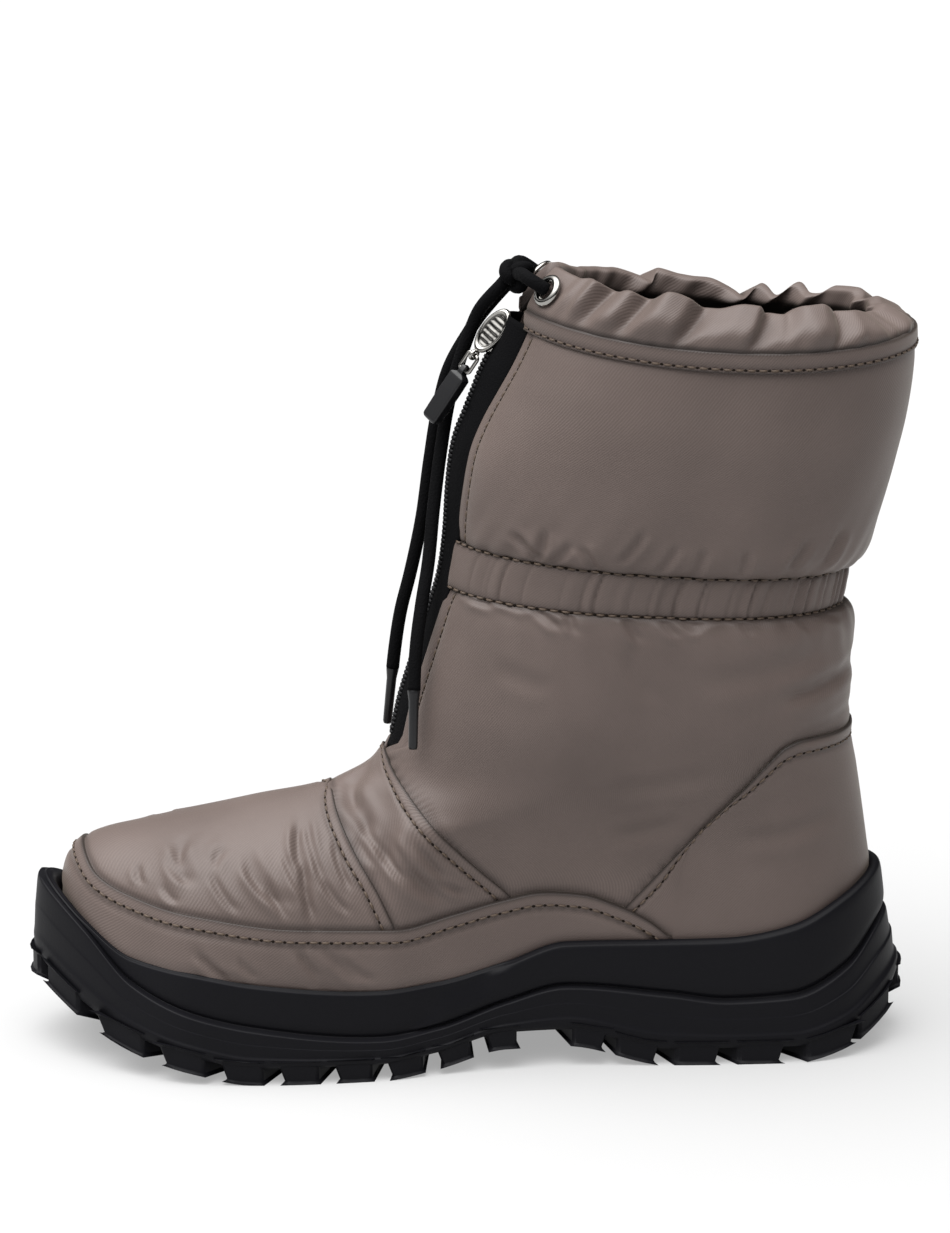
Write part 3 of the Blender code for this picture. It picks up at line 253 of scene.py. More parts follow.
# The ridge of the foot, where creases fade: from the throat, from the toe seam, and its inner half
RIDGE_FROM, RIDGE_TOE, RIDGE_RUN, RIDGE_INNER = 10.0, 44.0, 6.0, 14.0

# Collar: section of the gathered tunnel, out from the seam and up from it
COLLAR_SECTION = table(
    "out   up",
    (0.2, 0.0), (-0.6, 0.35), (-5.0, 0.72), (-10.0, 0.97), (-13.5, 0.88), (-13.0, 0.5), (-6.0, 0.0),
)
# Height of the collar's rim around the boot: its peaks and the valleys of its pleats
RIM = table(
    "turn  height",
    (-3.2, 18.5), (-2.85, 18.0), (-2.5, 14.4), (-2.14, 14.1), (-1.97, 12.1), (-1.9, 10.9), (-1.82, 14.2),
    (-1.7, 12.8), (-1.54, 12.0), (-1.39, 8.7), (-1.32, 7.2), (-1.23, 10.9), (-1.12, 8.2), (-1.0, 12.1),
    (-0.9, 9.7), (-0.83, 9.6), (-0.72, 12.3), (-0.52, 12.7), (-0.35, 10.2), (-0.2, 11.8), (0.0, 10.6),
    (0.2, 12.2), (0.4, 11.2), (0.57, 12.6), (0.78, 14.9), (0.88, 14.7), (1.03, 18.9), (1.13, 18.7),
    (1.24, 15.5), (1.36, 15.8), (1.41, 19.0), (1.49, 19.3), (1.62, 17.2), (1.7, 16.5), (1.79, 20.5),
    (1.89, 22.0), (2.04, 17.0), (2.14, 19.7), (2.29, 17.0), (2.38, 20.4), (2.47, 19.8), (2.6, 18.5),
    (3.2, 18.5),
)
RIM_MEAN = table(
    "turn  height",
    (-3.2, 18.5), (-2.7, 16.0), (-1.9, 12.4), (-1.2, 10.0), (-0.5, 11.5), (0.5, 12.5), (1.0, 16.8),
    (1.6, 18.2), (2.3, 18.8), (3.2, 18.5),
)
# Creases at the foot of the valleys: turn, depth and how far each leans as it runs down
COLLAR_CREASES = table(
    "turn  depth lean",
    (2.46, 0.9, 0.10), (2.29, 1.3, 0.16), (2.03, 1.5, 0.22), (1.69, 1.8, 0.26), (1.32, 1.7, 0.24),
    (1.2, 1.2, 0.06), (0.86, 1.6, 0.22), (0.62, 1.0, -0.1), (0.4, 1.1, 0.12), (0.05, 1.2, -0.1),
    (-0.35, 1.4, -0.15),
    (-0.87, 1.5, -0.16), (-1.12, 1.5, -0.12), (-1.34, 1.7, -0.2), (-1.62, 0.8, -0.2), (-1.92, 1.6, -0.2),
    (-2.2, 0.9, -0.16), (-2.5, 0.9, -0.1),
)
CREASE_SPREAD, COLLAR_WAVES = 0.045, ((0, -1.0), (1.9, 0.45), (-1.9, 0.45))
COLLAR_LIFT, COLLAR_INSIDE, PLEAT_LEAN, PUFF, RIPPLE = 0.3, -11.0, 0.2, 2.2, 0.14
STRIP_LOW, STRIP_TALL, STRIP_STITCH = -1.6, 6.8, 1.7

# Zip
TAPE_SINK, TAPE_THICK = 1.4, 0.8
TEETH_FOOT, TEETH_TOP, TEETH_PITCH = 106.0, 233.0, 1.5
TEETH_PROUD, TEETH_HALF, TEETH_APART, TEETH_SINK = 1.3, 1.5, 1.1, 1.9
SLIDER_Z = 238.2
SLIDER_OUTLINE = table(
    "across down",
    (0, -7.0), (3.6, -6.5), (4.4, -4.5), (4.4, 0), (3.2, 5.5), (2.4, 6.5), (0, 7.0),
)
CAP_LENGTH, CAP_WIDTH, CAP_LIFT = 17.0, 9.0, 5.4
CAP_TILT, CAP_SWING = math.radians(12), math.radians(48)
CAP_SECTION = table(
    "share out",
    (0.0, 0.0), (0.85, 0.0), (0.96, 0.15), (1, 0.6), (1, 1.1), (0.95, 1.65), (0.86, 1.85), (0.78, 1.6),
    (0.7, 1.1), (0.55, 1.0), (0.3, 1.25), (0.0, 1.35),
)
CAP_RINGS, CAP_CREST, RIB_HEIGHT, RIB_PITCH, FIELD_SHADE = 60, 38, 0.16, 1.9, 0.3
EYE_RADIUS, EYE_HOLE, EYE_THICK, EYE_DOWN, EYE_OUT = 2.1, 1.2, 1.4, 9.9, 0.9
WIRE, LINK_HALF, LINK_LENGTH, LINK_CORNER = 0.65, 2.25, 6.2, 1.0
TAB_SECTIONS = table(
    "hang  half  thick",
    (4.4, 0.4, 0.9), (4.9, 1.0, 1.3), (6.4, 1.1, 1.7), (7.4, 1.2, 1.6), (8.0, 2.4, 1.8), (8.5, 3.0, 2.0),
    (9.2, 3.2, 2.1), (15.0, 3.25, 2.15), (24.6, 3.1, 2.0), (25.7, 2.9, 1.9), (26.3, 2.4, 1.5),
    (26.6, 1.6, 0.9),
)
TAB_SQUARE = 0.25

# Eyelets and drawcord
EYELET_TURN, EYELET_UP, EYELET_STAND = 0.4, 0.66, 0.9
EYELET_SECTION = table(
    "radius out",
    (2.9, 0), (5.6, 0), (5.6, 0.4), (5.2, 1.0), (4.4, 1.5), (3.7, 1.4), (3.2, 1.0), (2.9, 0.5),
)
KNOT_AT, KNOT_RADIUS, KNOT_STRAND = (-13.6, -1.4, 258.8), 4.0, 2.2
LEAD_START, CORD_STEP, AGLET_OVERLAP = 0.6, 1.2, 0.3
FIRST_SIDE = (0.31, 0.22, 0.93)
# Each cord from its eyelet, across through the knot and down to its aglet
CORD_ROUTES = {
    "outer": ((-18.6, -17.4, 258.6), (-16.4, -15.5, 260.2), (-14.9, -12.7, 260.9), (-13.9, -9.5, 260.9),
              (-13.0, -6.6, 260.2), (-12.0, -4.5, 259.0), (-8.8, -2.1, 255.5), (-6.1, -2.4, 252.6),
              (-3.8, -4.2, 249.6), (-1.6, -6.3, 245.9), (0.6, -7.6, 240.5), (4.6, -8.4, 229.0),
              (8.0, -8.2, 216.0), (10.8, -6.4, 200.0), (13.6, -1.0, 181.0), (15.8, 6.0, 164.0),
              (18.3, 12.3, 152.0), (20.3, 18.0, 140.0), (21.3, 22.0, 126.0)),
    "inner": ((-18.4, 18.2, 259.8), (-16.2, 16.1, 260.9), (-15.0, 12.8, 261.3), (-14.4, 8.7, 261.0),
              (-14.1, 4.3, 260.2), (-13.8, 0.0, 259.2), (-12.3, -4.1, 256.9), (-9.3, -7.7, 252.8),
              (-5.5, -10.6, 247.7), (-1.8, -12.6, 242.5), (1.0, -13.4, 238.0), (7.6, -13.8, 226.0),
              (11.5, -14.0, 211.0), (14.1, -13.6, 195.0), (16.9, -13.0, 175.0), (20.9, -12.8, 156.0),
              (23.9, -12.8, 144.0), (25.8, -13.0, 132.0), (26.7, -13.2, 124.0)),
}
AGLET_SECTION = table("along radius", (0, 1.9), (0.6, 2.1), (1.6, 2.0), (4.0, 1.65), (19.0, 1.5), (19.8, 1.2))

# Soft light from above, brightest from one direction, and the camera, as the boot was photographed
LIGHT_FROM, LIGHT_GATHER, LIGHT_STRENGTH = (0.25, 0.12, 1.0), 5.0, 8.9
FLOOR_GLOW, FLOOR_HALF = 0.35, 12.0
CAMERA_AT, CAMERA_AIM = (0.0943, 1.5426, 0.5587), (0.0, 0.0, 0.1446)
CAMERA_LENS, CAMERA_SENSOR, CAMERA_FAR = 141.5, 36.0, 50.0

# Finishes: slot, colour, roughness, metal, specular level, and grain by scale, strength and depth
FINISHES = {
    "nylon": ("nylon", "nylon", 0.46, 0.0, 0.24),
    "thread": ("nylon", "thread", 0.6, 0.0, 0.5),
    # Painted shade: finish of the dark beads that stand in for the shadow in the needle holes
    "hole": ("nylon", "hole", 0.9, 0.0, 0.1),
    "lining": ("nylon", "lining", 0.9, 0.0, 0.5, 1200, 0.5, 0.0006),
    "felt": ("footbed", "felt", 0.95, 0.0, 0.5, 900, 0.6, 0.001),
    "rubber": ("sole_rubber", "rubber", 0.5, 0.0, 0.11, 900, 0.12, 0.0003),
    "cord": ("cord", "cord", 0.85, 0.0, 0.06, 1400, 0.6, 0.0006),
    "tape": ("zip_tape", "cord", 0.85, 0.0, 0.05, 1600, 0.5, 0.0005),
    "coil": ("zip_coil", "plastic", 0.5, 0.0, 0.2),
    "plastic": ("black_plastic", "plastic", 0.38, 0.0, 0.4),
    "chrome": ("bright_metal", "metal", 0.14, 1.0, 0.5),
    "toned_chrome": ("bright_metal", "metal", 0.2, 1.0, 0.5),
}
WEAVE_BANDS = 2.2


def cubic(values, slopes, i, t, step=1.0):
    """The cubic from knot i to the next over a step, t from 0 to 1, by the values and slopes at both."""
    ends = (2 * t**3 - 3 * t**2 + 1) * values[i] + (3 * t**2 - 2 * t**3) * values[i + 1]
    return ends + step * ((t**3 - 2 * t**2 + t) * slopes[i] + (t**3 - t**2) * slopes[i + 1])


def curve(at, xs, ys):
    """A monotone cubic through the points (xs, ys), read at the places given."""
    order = np.argsort(xs)
    xs, ys = xs[order], ys[order]
    at = np.clip(at, xs[0], xs[-1])
    step = np.diff(xs)
    rise = np.diff(ys) / step
    first = 2 * step[1:] + step[:-1]
    second = step[1:] + 2 * step[:-1]
    with np.errstate(divide="ignore", invalid="ignore"):
        mean = (first + second) / (first / rise[:-1] + second / rise[1:])
    slope = np.concatenate([rise[:1], np.where(rise[:-1] * rise[1:] > 0, mean, 0), rise[-1:]])
    i = np.clip(np.searchsorted(xs, at, side="right") - 1, 0, len(xs) - 2)
    return cubic(ys, slope, i, (at - xs[i]) / step[i], step[i])


def smooth(t):
    """0 to 1 with level ends."""
    t = np.clip(t, 0, 1)
    return t * t * (3 - 2 * t)


def dome(depth):
    """Height of a quarter circle: 0 at the edge, 1 from depth 1 inwards."""
    return np.sqrt(np.maximum(0, 1 - (1 - np.clip(depth, 0, 1)) ** 2))


def bell(at):
    """A soft bump: 1 at 0, falling away on both sides."""
    return np.exp(-at * at)


def unit(vectors):
    """Vectors scaled to length 1."""
    vectors = np.asarray(vectors, float)
    return vectors / np.maximum(np.linalg.norm(vectors, axis=-1, keepdims=True), TINY)


def around(count):
    """Turns evenly spaced once around."""
    return FULL_TURN * np.arange(count) / count


def graded(count, crowd):
    """Shares from 0 to 1, closer together at both ends."""
    t = np.linspace(0, 1, count)
    return t - crowd * np.sin(FULL_TURN * t) / FULL_TURN


def spans(points, axis):
    """Length along a grid's columns (axis 0) or its rows (axis 1), from 0."""
    steps = np.linalg.norm(np.diff(points, axis=axis), axis=-1)
    run = np.cumsum(steps, axis=axis)
    return np.concatenate([np.zeros_like(np.take(run, [0], axis=axis)), run], axis=axis)


def from_ends(points, axis):
    """Length along a grid's columns or rows to the nearer of their two ends."""
    run = spans(points, axis)
    return np.minimum(run, np.take(run, [-1], axis=axis) - run)


def sole(column, x):
    """A column of the sole's table, read at x."""
    return curve(x, SOLE["x"], SOLE[column])


# The front profile as a fine line, so that x of z and z of x agree
FRONT_KNOTS = np.concatenate([[0], np.cumsum(np.hypot(np.diff(FRONT["x"]), np.diff(FRONT["z"])))])
FRONT_RUN = np.linspace(0, FRONT_KNOTS[-1], 1500)
FRONT_X = curve(FRONT_RUN, FRONT_KNOTS, FRONT["x"])
FRONT_Z = curve(FRONT_RUN, FRONT_KNOTS, FRONT["z"])
GIRTH_RUN = np.interp(GIRTHS["front"], FRONT_Z, FRONT_RUN)
GIRTH_LEVEL = np.concatenate([[0], np.cumsum(np.diff(GIRTH_RUN) + np.diff(GIRTHS["back"]))])
GIRTH_LEVEL /= GIRTH_LEVEL[-1]


def front_x(z):
    """x of the front profile at a height."""
    return np.interp(z, FRONT_Z, FRONT_X)


def front_height(level):
    """Height at which a level line starts at the front."""
    return np.interp(curve(level, GIRTH_LEVEL, GIRTH_RUN), FRONT_RUN, FRONT_Z)


def level_at(height):
    """The level whose line starts at this height at the front of the boot."""
    levels = np.linspace(0, 1, 1500)
    return np.interp(height, front_height(levels), levels)


def breadth(x, z):
    """Centre line and half width of the boot at a place in side view.

    The half width is the foot's or the shaft's own, rounded off towards the front profile by the
    distance to it (from the distances straight up and straight ahead) and towards the back.
    """
    shaft = smooth((z - HANDOVER_LOW) / (HANDOVER_HIGH - HANDOVER_LOW))
    shaft = shaft * smooth((HANDOVER_X - x) / HANDOVER_RUN)
    foot = sole("half", x) - FOOT_INSET - TOE_INSET * smooth((x - TOE_INSET_FROM) / TOE_INSET_RUN)
    half = foot + (curve(z, SHAFT["z"], SHAFT["half"]) - foot) * shaft
    arch = curve(x, VAMP_ARCH["x"], VAMP_ARCH["round"])
    arch = arch + (SHAFT_ROUND - arch) * shaft
    above = np.maximum(np.interp(x, FRONT_X[::-1], FRONT_Z[::-1]) - z, TINY)
    ahead = np.maximum(front_x(z) - x, TINY)
    inside = above * ahead / np.hypot(above, ahead)
    behind = x - curve(z, BACK["z"], BACK["x"])
    half = half * dome(inside / arch) * dome(behind / curve(z, BACK["z"], BACK["round"]))
    centre = sole("centre", x) * (1 - shaft) + SHAFT_CENTRE * shaft
    return centre, half


def side_place(turn, level):
    """x and z of the level line: straight from back to front, bent to the footbed below."""
    along = (1 - np.cos(turn)) / 2
    run = curve(level, GIRTH_LEVEL, GIRTH_RUN)
    x1, z1 = np.interp(run, FRONT_RUN, FRONT_X), np.interp(run, FRONT_RUN, FRONT_Z)
    z0 = curve(level, GIRTH_LEVEL, GIRTHS["back"])
    x0 = curve(z0, BACK["z"], BACK["x"])
    x = x0 + (x1 - x0) * along
    straight = GIRTHS["back"][0] + (GIRTHS["front"][0] - GIRTHS["back"][0]) * along
    bow = (sole("seat", x) - straight) * smooth(1 - level / SEAT_FADE)
    bow = bow - SEAM_SAG * smooth((level - SEAM_SAG_FROM) / (1 - SEAM_SAG_FROM))
    return x, z0 + (z1 - z0) * along + bow * np.sin(turn) ** 2


def plain_skin(turn, level):
    """Points of the upper's outside as a function of turn and level."""
    turn = np.mod(turn, FULL_TURN)
    x, z = side_place(turn, level)
    centre, half = breadth(x, z)
    return np.stack([x, centre + np.where(turn < math.pi, half, -half), z], -1)


def skin(turn, level):
    """Points of the upper's outside and directions out of it, from differences across and up."""
    turn, level = np.broadcast_arrays(np.asarray(turn, float), np.asarray(level, float))
    step = 2e-3
    around = plain_skin(turn + step, level) - plain_skin(turn - step, level)
    up = plain_skin(turn, np.minimum(level + step, 1)) - plain_skin(turn, np.maximum(level - step, 0))
    return plain_skin(turn, level), unit(np.cross(up, around))


def slit_turn(level, half):
    """How far from the front, as a turn, the skin is this far from the middle of the zip."""
    near = np.linspace(0, 0.6, 121)
    wide = plain_skin(math.pi - near[None, :], np.atleast_1d(level)[:, None])[..., 1] - SHAFT_CENTRE
    return np.array([np.interp(h, row, near) for h, row in zip(np.broadcast_to(half, len(wide)), wide)])


def first_past(values, places):
    """Where each row of values, one for each place, first comes up to 0; the last place if it never does."""
    i = np.clip(np.argmax(values > 0, axis=1), 1, len(places) - 1)
    i = np.where(values.max(axis=1) > 0, i, len(places) - 1)
    rows = np.arange(len(values))
    low, high = values[rows, i - 1], values[rows, i]
    share = np.where(high > 0, np.clip(-low / np.maximum(high - low, TINY), 0, 1), 1)
    return places[i - 1] + (places[1] - places[0]) * share


def level_on(turns, edge_x, edge_z):
    """The level at which each turn's line comes up to an edge drawn in side view."""
    levels = np.linspace(0, 1, EDGE_STEPS)
    x, z = side_place(np.asarray(turns)[:, None], levels[None, :])
    return first_past(z - curve(x, edge_x, edge_z), levels)


def turn_on(levels, edge_z, edge_x):
    """The turn at which each level line, run from the heel, comes forward to an edge in side view."""
    turns = np.linspace(0.05, math.pi, EDGE_STEPS)
    x, z = side_place(turns[None, :], np.asarray(levels)[:, None])
    return first_past(x - curve(z, edge_z, edge_x), turns)


def skin_turn(x):
    """The turn at which the foot of the upper passes x on the outer side."""
    rear, front = BACK["x"][1], FRONT["x"][1]
    return np.arccos(1 - 2 * (np.asarray(x) - rear) / (front - rear))


def edge_line(edge, over):
    """Fine points along an edge drawn in side view, which is a function of x or of z."""
    at = np.linspace(edge[over].min(), edge[over].max(), 70)
    if over == "x":
        return np.column_stack([at, curve(at, edge["x"], edge["z"])])
    return np.column_stack([curve(at, edge["z"], edge["x"]), at])


def seam_hollow(points, lines, reach):
    """1 on edges drawn in side view, fading over a distance to both sides."""
    x, z = points[..., 0], points[..., 2]
    near = np.full(x.shape, np.inf)
    for line in lines:
        for (ax, az), (bx, bz) in zip(line[:-1], line[1:]):
            run = (bx - ax) ** 2 + (bz - az) ** 2
            t = np.clip(((x - ax) * (bx - ax) + (z - az) * (bz - az)) / run, 0, 1)
            near = np.minimum(near, np.hypot(x - ax - t * (bx - ax), z - az - t * (bz - az)))
    return bell(near / reach)


def turn_at(x):
    """The turn at which the sole's outline passes x on the outer side."""
    return np.arccos(1 - 2 * (np.asarray(x) - SOLE_REAR) / (SOLE_FRONT - SOLE_REAR))


def furrow(off, waves):
    """The section of a crease: a bump or hollow of its own height at each wave's place across it."""
    return sum(height * bell(off - at) for at, height in waves)


def crease_relief(x, z, rows):
    """Listed creases: troughs with a soft ridge on each side, bowed, fading at both ends."""
    relief = np.zeros_like(x)
    for x0, z0, x1, z1, bow, width, deep in rows:
        length = math.hypot(x1 - x0, z1 - z0)
        ax, az = (x1 - x0) / length, (z1 - z0) / length
        along = ((x - x0) * ax + (z - z0) * az) / length
        off = ((z - z0) * ax - (x - x0) * az - 4 * bow * along * (1 - along)) / width
        fade = smooth(along / CREASE_FADE + 0.3) * smooth((1 - along) / CREASE_FADE + 0.3)
        relief += fade * deep * furrow(off, CREASE_WAVES)
    return relief


def side_view(points, turn):
    """x and z of points, with the inner side's shifted to and fro so that the two sides differ."""
    x, z = points[..., 0], points[..., 2]
    return np.where(np.sin(turn) < 0, x + INNER_SHIFT * np.sin(z / 13), x), z


def pucker_relief(points, turn, sizes):
    """Short folds that run off the waist band's seams."""
    rows = [(*row, PUCKER_BOW, PUCKER_WIDTH, PUCKER_DEPTH) for row in zip(*PUCKERS.values())]
    return crease_relief(*side_view(points, turn), rows) * sizes.crease_depth


def drift(x, z):
    """Slow unevenness of stuffed cloth, between about -1 and 1."""
    wave = np.sin(x / 15 + 1.3 * np.sin(z / 21)) * np.sin(z / 17 + 0.9 * np.sin(x / 27))
    return 0.6 * wave + 0.4 * np.sin((x + z) / 9.5 + 1.7 * np.sin((x - z) / 25))


def cloth_relief(points, turn, sizes):
    """Relief shared by all layers at one place, so that they stay in order.

    Creases and streaks fade out on the foot's ridge, over a wider strip on the inner side, and a slow
    drift is added.
    """
    x, z = side_view(points, turn)
    rows = [*zip(*CREASES.values())]
    rows += [(*row, STREAK_BOW, STREAK_WIDTH, STREAK_DEPTH) for row in zip(*STREAKS.values())]
    toe, y = smooth((x - RIDGE_TOE) / RIDGE_RUN), points[..., 1]
    side = np.where(y > 0, (y - 5 * toe) / (6 + 8 * toe), (-y - RIDGE_INNER) / RIDGE_INNER)
    ridge = smooth((x - RIDGE_FROM) / RIDGE_RUN) * (1 - smooth(side))
    return crease_relief(x, z, rows) * sizes.crease_depth * (1 - ridge) + DRIFT_DEPTH * drift(x, z)


def sheet_faces(rows, columns):
    """Quads of a thin closed sheet: its face, its back and the four narrow sides."""
    count = rows * columns
    i, j = np.meshgrid(np.arange(rows - 1), np.arange(columns - 1), indexing="ij")
    a = (i * columns + j).ravel()
    face = np.stack([a, a + columns, a + columns + 1, a + 1], 1)
    back = face[:, ::-1] + count
    b, side = np.arange(columns - 1), np.arange(rows - 1) * columns
    foot = np.stack([b, b + 1, b + 1 + count, b + count], 1)
    head = (foot + (rows - 1) * columns)[:, ::-1]
    left = np.stack([side + columns, side, side + count, side + columns + count], 1)
    right = (left + columns - 1)[:, ::-1]
    return np.concatenate([face, back, foot, head, left, right])


def ring_quads(rows, count, loop=False):
    """Quads between each ring of points and the next, and in a loop from the last ring to the first."""
    i, j = np.meshgrid(np.arange(rows if loop else rows - 1), np.arange(count), indexing="ij")
    beside, after = (j + 1) % count, (i + 1) % rows
    quads = np.stack([i * count + j, i * count + beside, after * count + beside, after * count + j], -1)
    return quads.reshape(-1, 4)


def barrel(rings, loop=False):
    """Points and faces through rings: closed by fans at both ends, or joined into a loop."""
    rows, count = rings.shape[:2]
    points, quads = rings.reshape(-1, 3), ring_quads(rows, count, loop)
    if loop:
        return points, [quads]
    first, last = np.arange(count), np.arange(count) + (rows - 1) * count
    start, end = np.full(count, len(points)), np.full(count, len(points) + 1)
    fans = np.concatenate([np.stack([start, np.roll(first, -1), first], 1),
                           np.stack([end, last, np.roll(last, -1)], 1)])
    return np.concatenate([points, rings[:1].mean(1), rings[-1:].mean(1)]), [quads, fans]


def flat_ended(rings):
    """Points and faces through rings of an even count, both ends pressed flat on the sole's middle line."""
    middle = np.stack([rings[..., 0], sole("centre", rings[..., 0]), rings[..., 2]], -1)
    rings = np.concatenate([middle[:1], rings, middle[-1:]])
    rows, count = rings.shape[:2]
    first = np.arange(count)
    same = np.arange(rows * count)
    for start in (0, (rows - 1) * count):
        same[start + first] = start + np.minimum(first, (count - first) % count)
    used, quads = np.unique(same[ring_quads(rows, count)], return_inverse=True)
    return rings.reshape(-1, 3)[used], quads.reshape(-1, 4)


def volume(points, groups):
    """Signed volume inside faces, as the sum of the tetrahedra from the origin to their triangles."""
    total = 0.0
    for faces in groups:
        for k in range(1, faces.shape[1] - 1):
            a, b, c = (points[faces[:, n]] for n in (0, k, k + 1))
            total += np.einsum("ij,ij->i", a, np.cross(b, c)).sum()
    return total


def outward(points, groups):
    """The same faces, turned round where they look inwards."""
    return groups if volume(points, groups) > 0 else [faces[:, ::-1] for faces in groups]


def put(name, points, groups, look, nodes=(), body="boot", uv=None, shade=None):
    """An object in a finish, from points in millimetres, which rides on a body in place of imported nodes."""
    points = np.asarray(points, float).reshape(-1, 3)
    groups = outward(points, [groups] if isinstance(groups, np.ndarray) else groups)
    corners = np.concatenate([faces.ravel() for faces in groups])
    sizes = np.concatenate([np.full(len(faces), faces.shape[1]) for faces in groups])
    mesh = bpy.data.meshes.new(name)
    mesh.vertices.add(len(points))
    mesh.vertices.foreach_set("co", (points * MM).ravel())
    mesh.loops.add(len(corners))
    mesh.loops.foreach_set("vertex_index", corners.astype(np.int32))
    mesh.polygons.add(len(sizes))
    mesh.polygons.foreach_set("loop_start", (np.cumsum(sizes) - sizes).astype(np.int32))
    mesh.update(calc_edges=True)
    if uv is not None:
        layer = mesh.uv_layers.new(name="UVMap")
        layer.uv.foreach_set("vector", (np.asarray(uv).reshape(-1, 2)[corners] * MM).ravel())
    if shade is not None:
        mesh.attributes.new("shade", "FLOAT", "POINT").data.foreach_set("value", np.asarray(shade).ravel())
    if mesh.validate():
        raise RuntimeError(name + " has faces that do not hold together")
    mesh.shade_smooth()
    mesh.materials.append(finish(look))
    made = bpy.data.objects.new(name, mesh)
    bpy.context.scene.collection.objects.link(made)
    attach(made, body)
    if nodes:
        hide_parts(*nodes)
    return made


def put_sheet(name, base, out, high, low, look, nodes=(), shade=None):
    """A thin closed sheet between two distances off a grid; gives the object and its outer points."""
    face, back = base + out * high[..., None], base + out * low[..., None]
    uv = np.stack([spans(base, 1), spans(base, 0)], -1)
    shade = np.ones(high.shape) if shade is None else shade
    made = put(name, np.concatenate([face.reshape(-1, 3), back.reshape(-1, 3)]), sheet_faces(*high.shape),
               look, nodes, uv=np.concatenate([uv.reshape(-1, 2)] * 2),
               shade=np.concatenate([shade.ravel()] * 2))
    return made, face


def thread_line(face, out, distance, far=False):
    """Points and outs where each row of a grid lies at a distance from its first (or last) column."""
    if far:
        face, out = face[:, ::-1], out[:, ::-1]
    run = spans(face, 1)

    def read(values):
        return np.array([read_line(row, at, distance) for row, at in zip(values, run)])

    return read(face), unit(read(out))


def read_line(line, run, at):
    """Points of a line, read at distances along it."""
    return np.stack([np.interp(at, run, line[:, k]) for k in range(3)], -1)


def beads(rings):
    """Points and faces of many small six-sided beads, each a few rings closed at both ends."""
    count, rows = rings.shape[:2]
    cap = np.array([[0, 3, 2, 1], [0, 5, 4, 3]])
    one = np.concatenate([ring_quads(rows, THREAD_SIDES), cap, cap[:, ::-1] + (rows - 1) * THREAD_SIDES])
    faces = one[None] + (np.arange(count) * rows * THREAD_SIDES)[:, None, None]
    return rings.reshape(-1, 3), faces.reshape(-1, 4)


def stitches(lines, sizes):
    """Bent capsules one after another along lines, each end sunk in the cloth."""
    pitch, length, thick = sizes.stitch_pitch / MM, sizes.stitch_length / MM, sizes.thread / MM
    bend, angle = np.linspace(-1, 1, 5), around(THREAD_SIDES)
    radius, lift = thick / 2 * np.sqrt(1 - 0.75 * bend**4), thick * (0.32 - 0.6 * bend**4)
    made = []
    for line, out in lines:
        run = spans(line[None], 1)[0]
        count = max(1, int(run[-1] // pitch))
        at = ((np.arange(count) + 0.5) * run[-1] / count)[:, None] + bend * length / 2
        place, normal = read_line(line, run, at), unit(read_line(out, run, at))
        side = unit(np.cross(normal, np.gradient(place, axis=1)))
        ring = np.cos(angle)[:, None] * side[:, :, None] + 0.75 * np.sin(angle)[:, None] * normal[:, :, None]
        made.append((place + normal * lift[:, None])[:, :, None] + ring * radius[:, None, None])
    return beads(np.concatenate(made))


def needle_holes(lines, sizes):
    """Painted shade of the needle holes: a small dark flat six-sided bead between each stitch and the next.
    """
    pitch, thick, angle = sizes.stitch_pitch / MM, sizes.thread / MM, around(THREAD_SIDES)
    made = []
    for line, out in lines:
        run = spans(line[None], 1)[0]
        count = max(1, int(run[-1] // pitch))
        at = np.arange(count) * run[-1] / count
        place, normal = read_line(line, run, at), unit(read_line(out, run, at))
        ahead = read_line(line, run, at + 0.3) - place
        ahead = unit(np.where(np.linalg.norm(ahead, axis=1, keepdims=True) > 1e-6, ahead, (1, 0, 0)))
        side = np.cross(normal, ahead)
        flat = np.cos(angle)[:, None] * ahead[:, None] * 0.75 + np.sin(angle)[:, None] * side[:, None] * 0.6
        made.append(np.stack([place[:, None] + thick * flat * size + normal[:, None] * thick * lift
                              for size, lift in HOLE_SHADE_RINGS], 1))
    return beads(np.concatenate(made))


def put_stitches(name, lines):
    """Stitches along lines as one piece, and the painted shade of the needle holes between them as another.
    """
    sizes = bpy.context.scene.boot_sizes
    put(name.replace("stitching", "needle_holes"), *needle_holes(lines, sizes), "hole")
    put(name, *stitches(lines, sizes), "thread")


def flowing(route, step):
    """Points read from a smooth curve through a route: each slope comes from the neighbours on both sides."""
    route = np.array(route, float)
    run = np.concatenate([[0], np.cumsum(np.linalg.norm(np.diff(route, axis=0), axis=1))])
    slope = np.gradient(route, run, axis=0, edge_order=2)
    at = np.linspace(0, run[-1], max(4, round(run[-1] / step) + 1))
    i = np.clip(np.searchsorted(run, at, side="right") - 1, 0, len(run) - 2)
    h = np.diff(run)[i][:, None]
    return cubic(route, slope, i, (at - run[i])[:, None] / h, h)


def tube(path, radius, sides, loop=False):
    """Rings of a round section along a path, square to it and carried along without twist."""
    ahead = np.roll(path, -1, axis=0) - np.roll(path, 1, axis=0) if loop else np.gradient(path, axis=0)
    ahead = unit(ahead)
    side = [unit(np.cross(ahead[0], FIRST_SIDE))]
    for t in ahead[1:]:
        side.append(unit(side[-1] - t * np.dot(side[-1], t)))
    side, angle = np.array(side), around(sides)
    ring = np.cos(angle)[:, None] * side[:, None] + np.sin(angle)[:, None] * np.cross(ahead, side)[:, None]
    return path[:, None] + radius * ring


def turned(at, axis, radius, along, sides):
    """Rings of a shape turned about an axis, one ring for each radius and place along it."""
    side = unit(np.cross(axis, (0, 0, 1) if abs(axis[2]) < 0.9 else (1, 0, 0)))
    angle = around(sides)
    circle = np.cos(angle)[:, None] * side + np.sin(angle)[:, None] * np.cross(axis, side)
    return at + np.asarray(radius)[:, None, None] * circle + np.asarray(along)[:, None, None] * axis


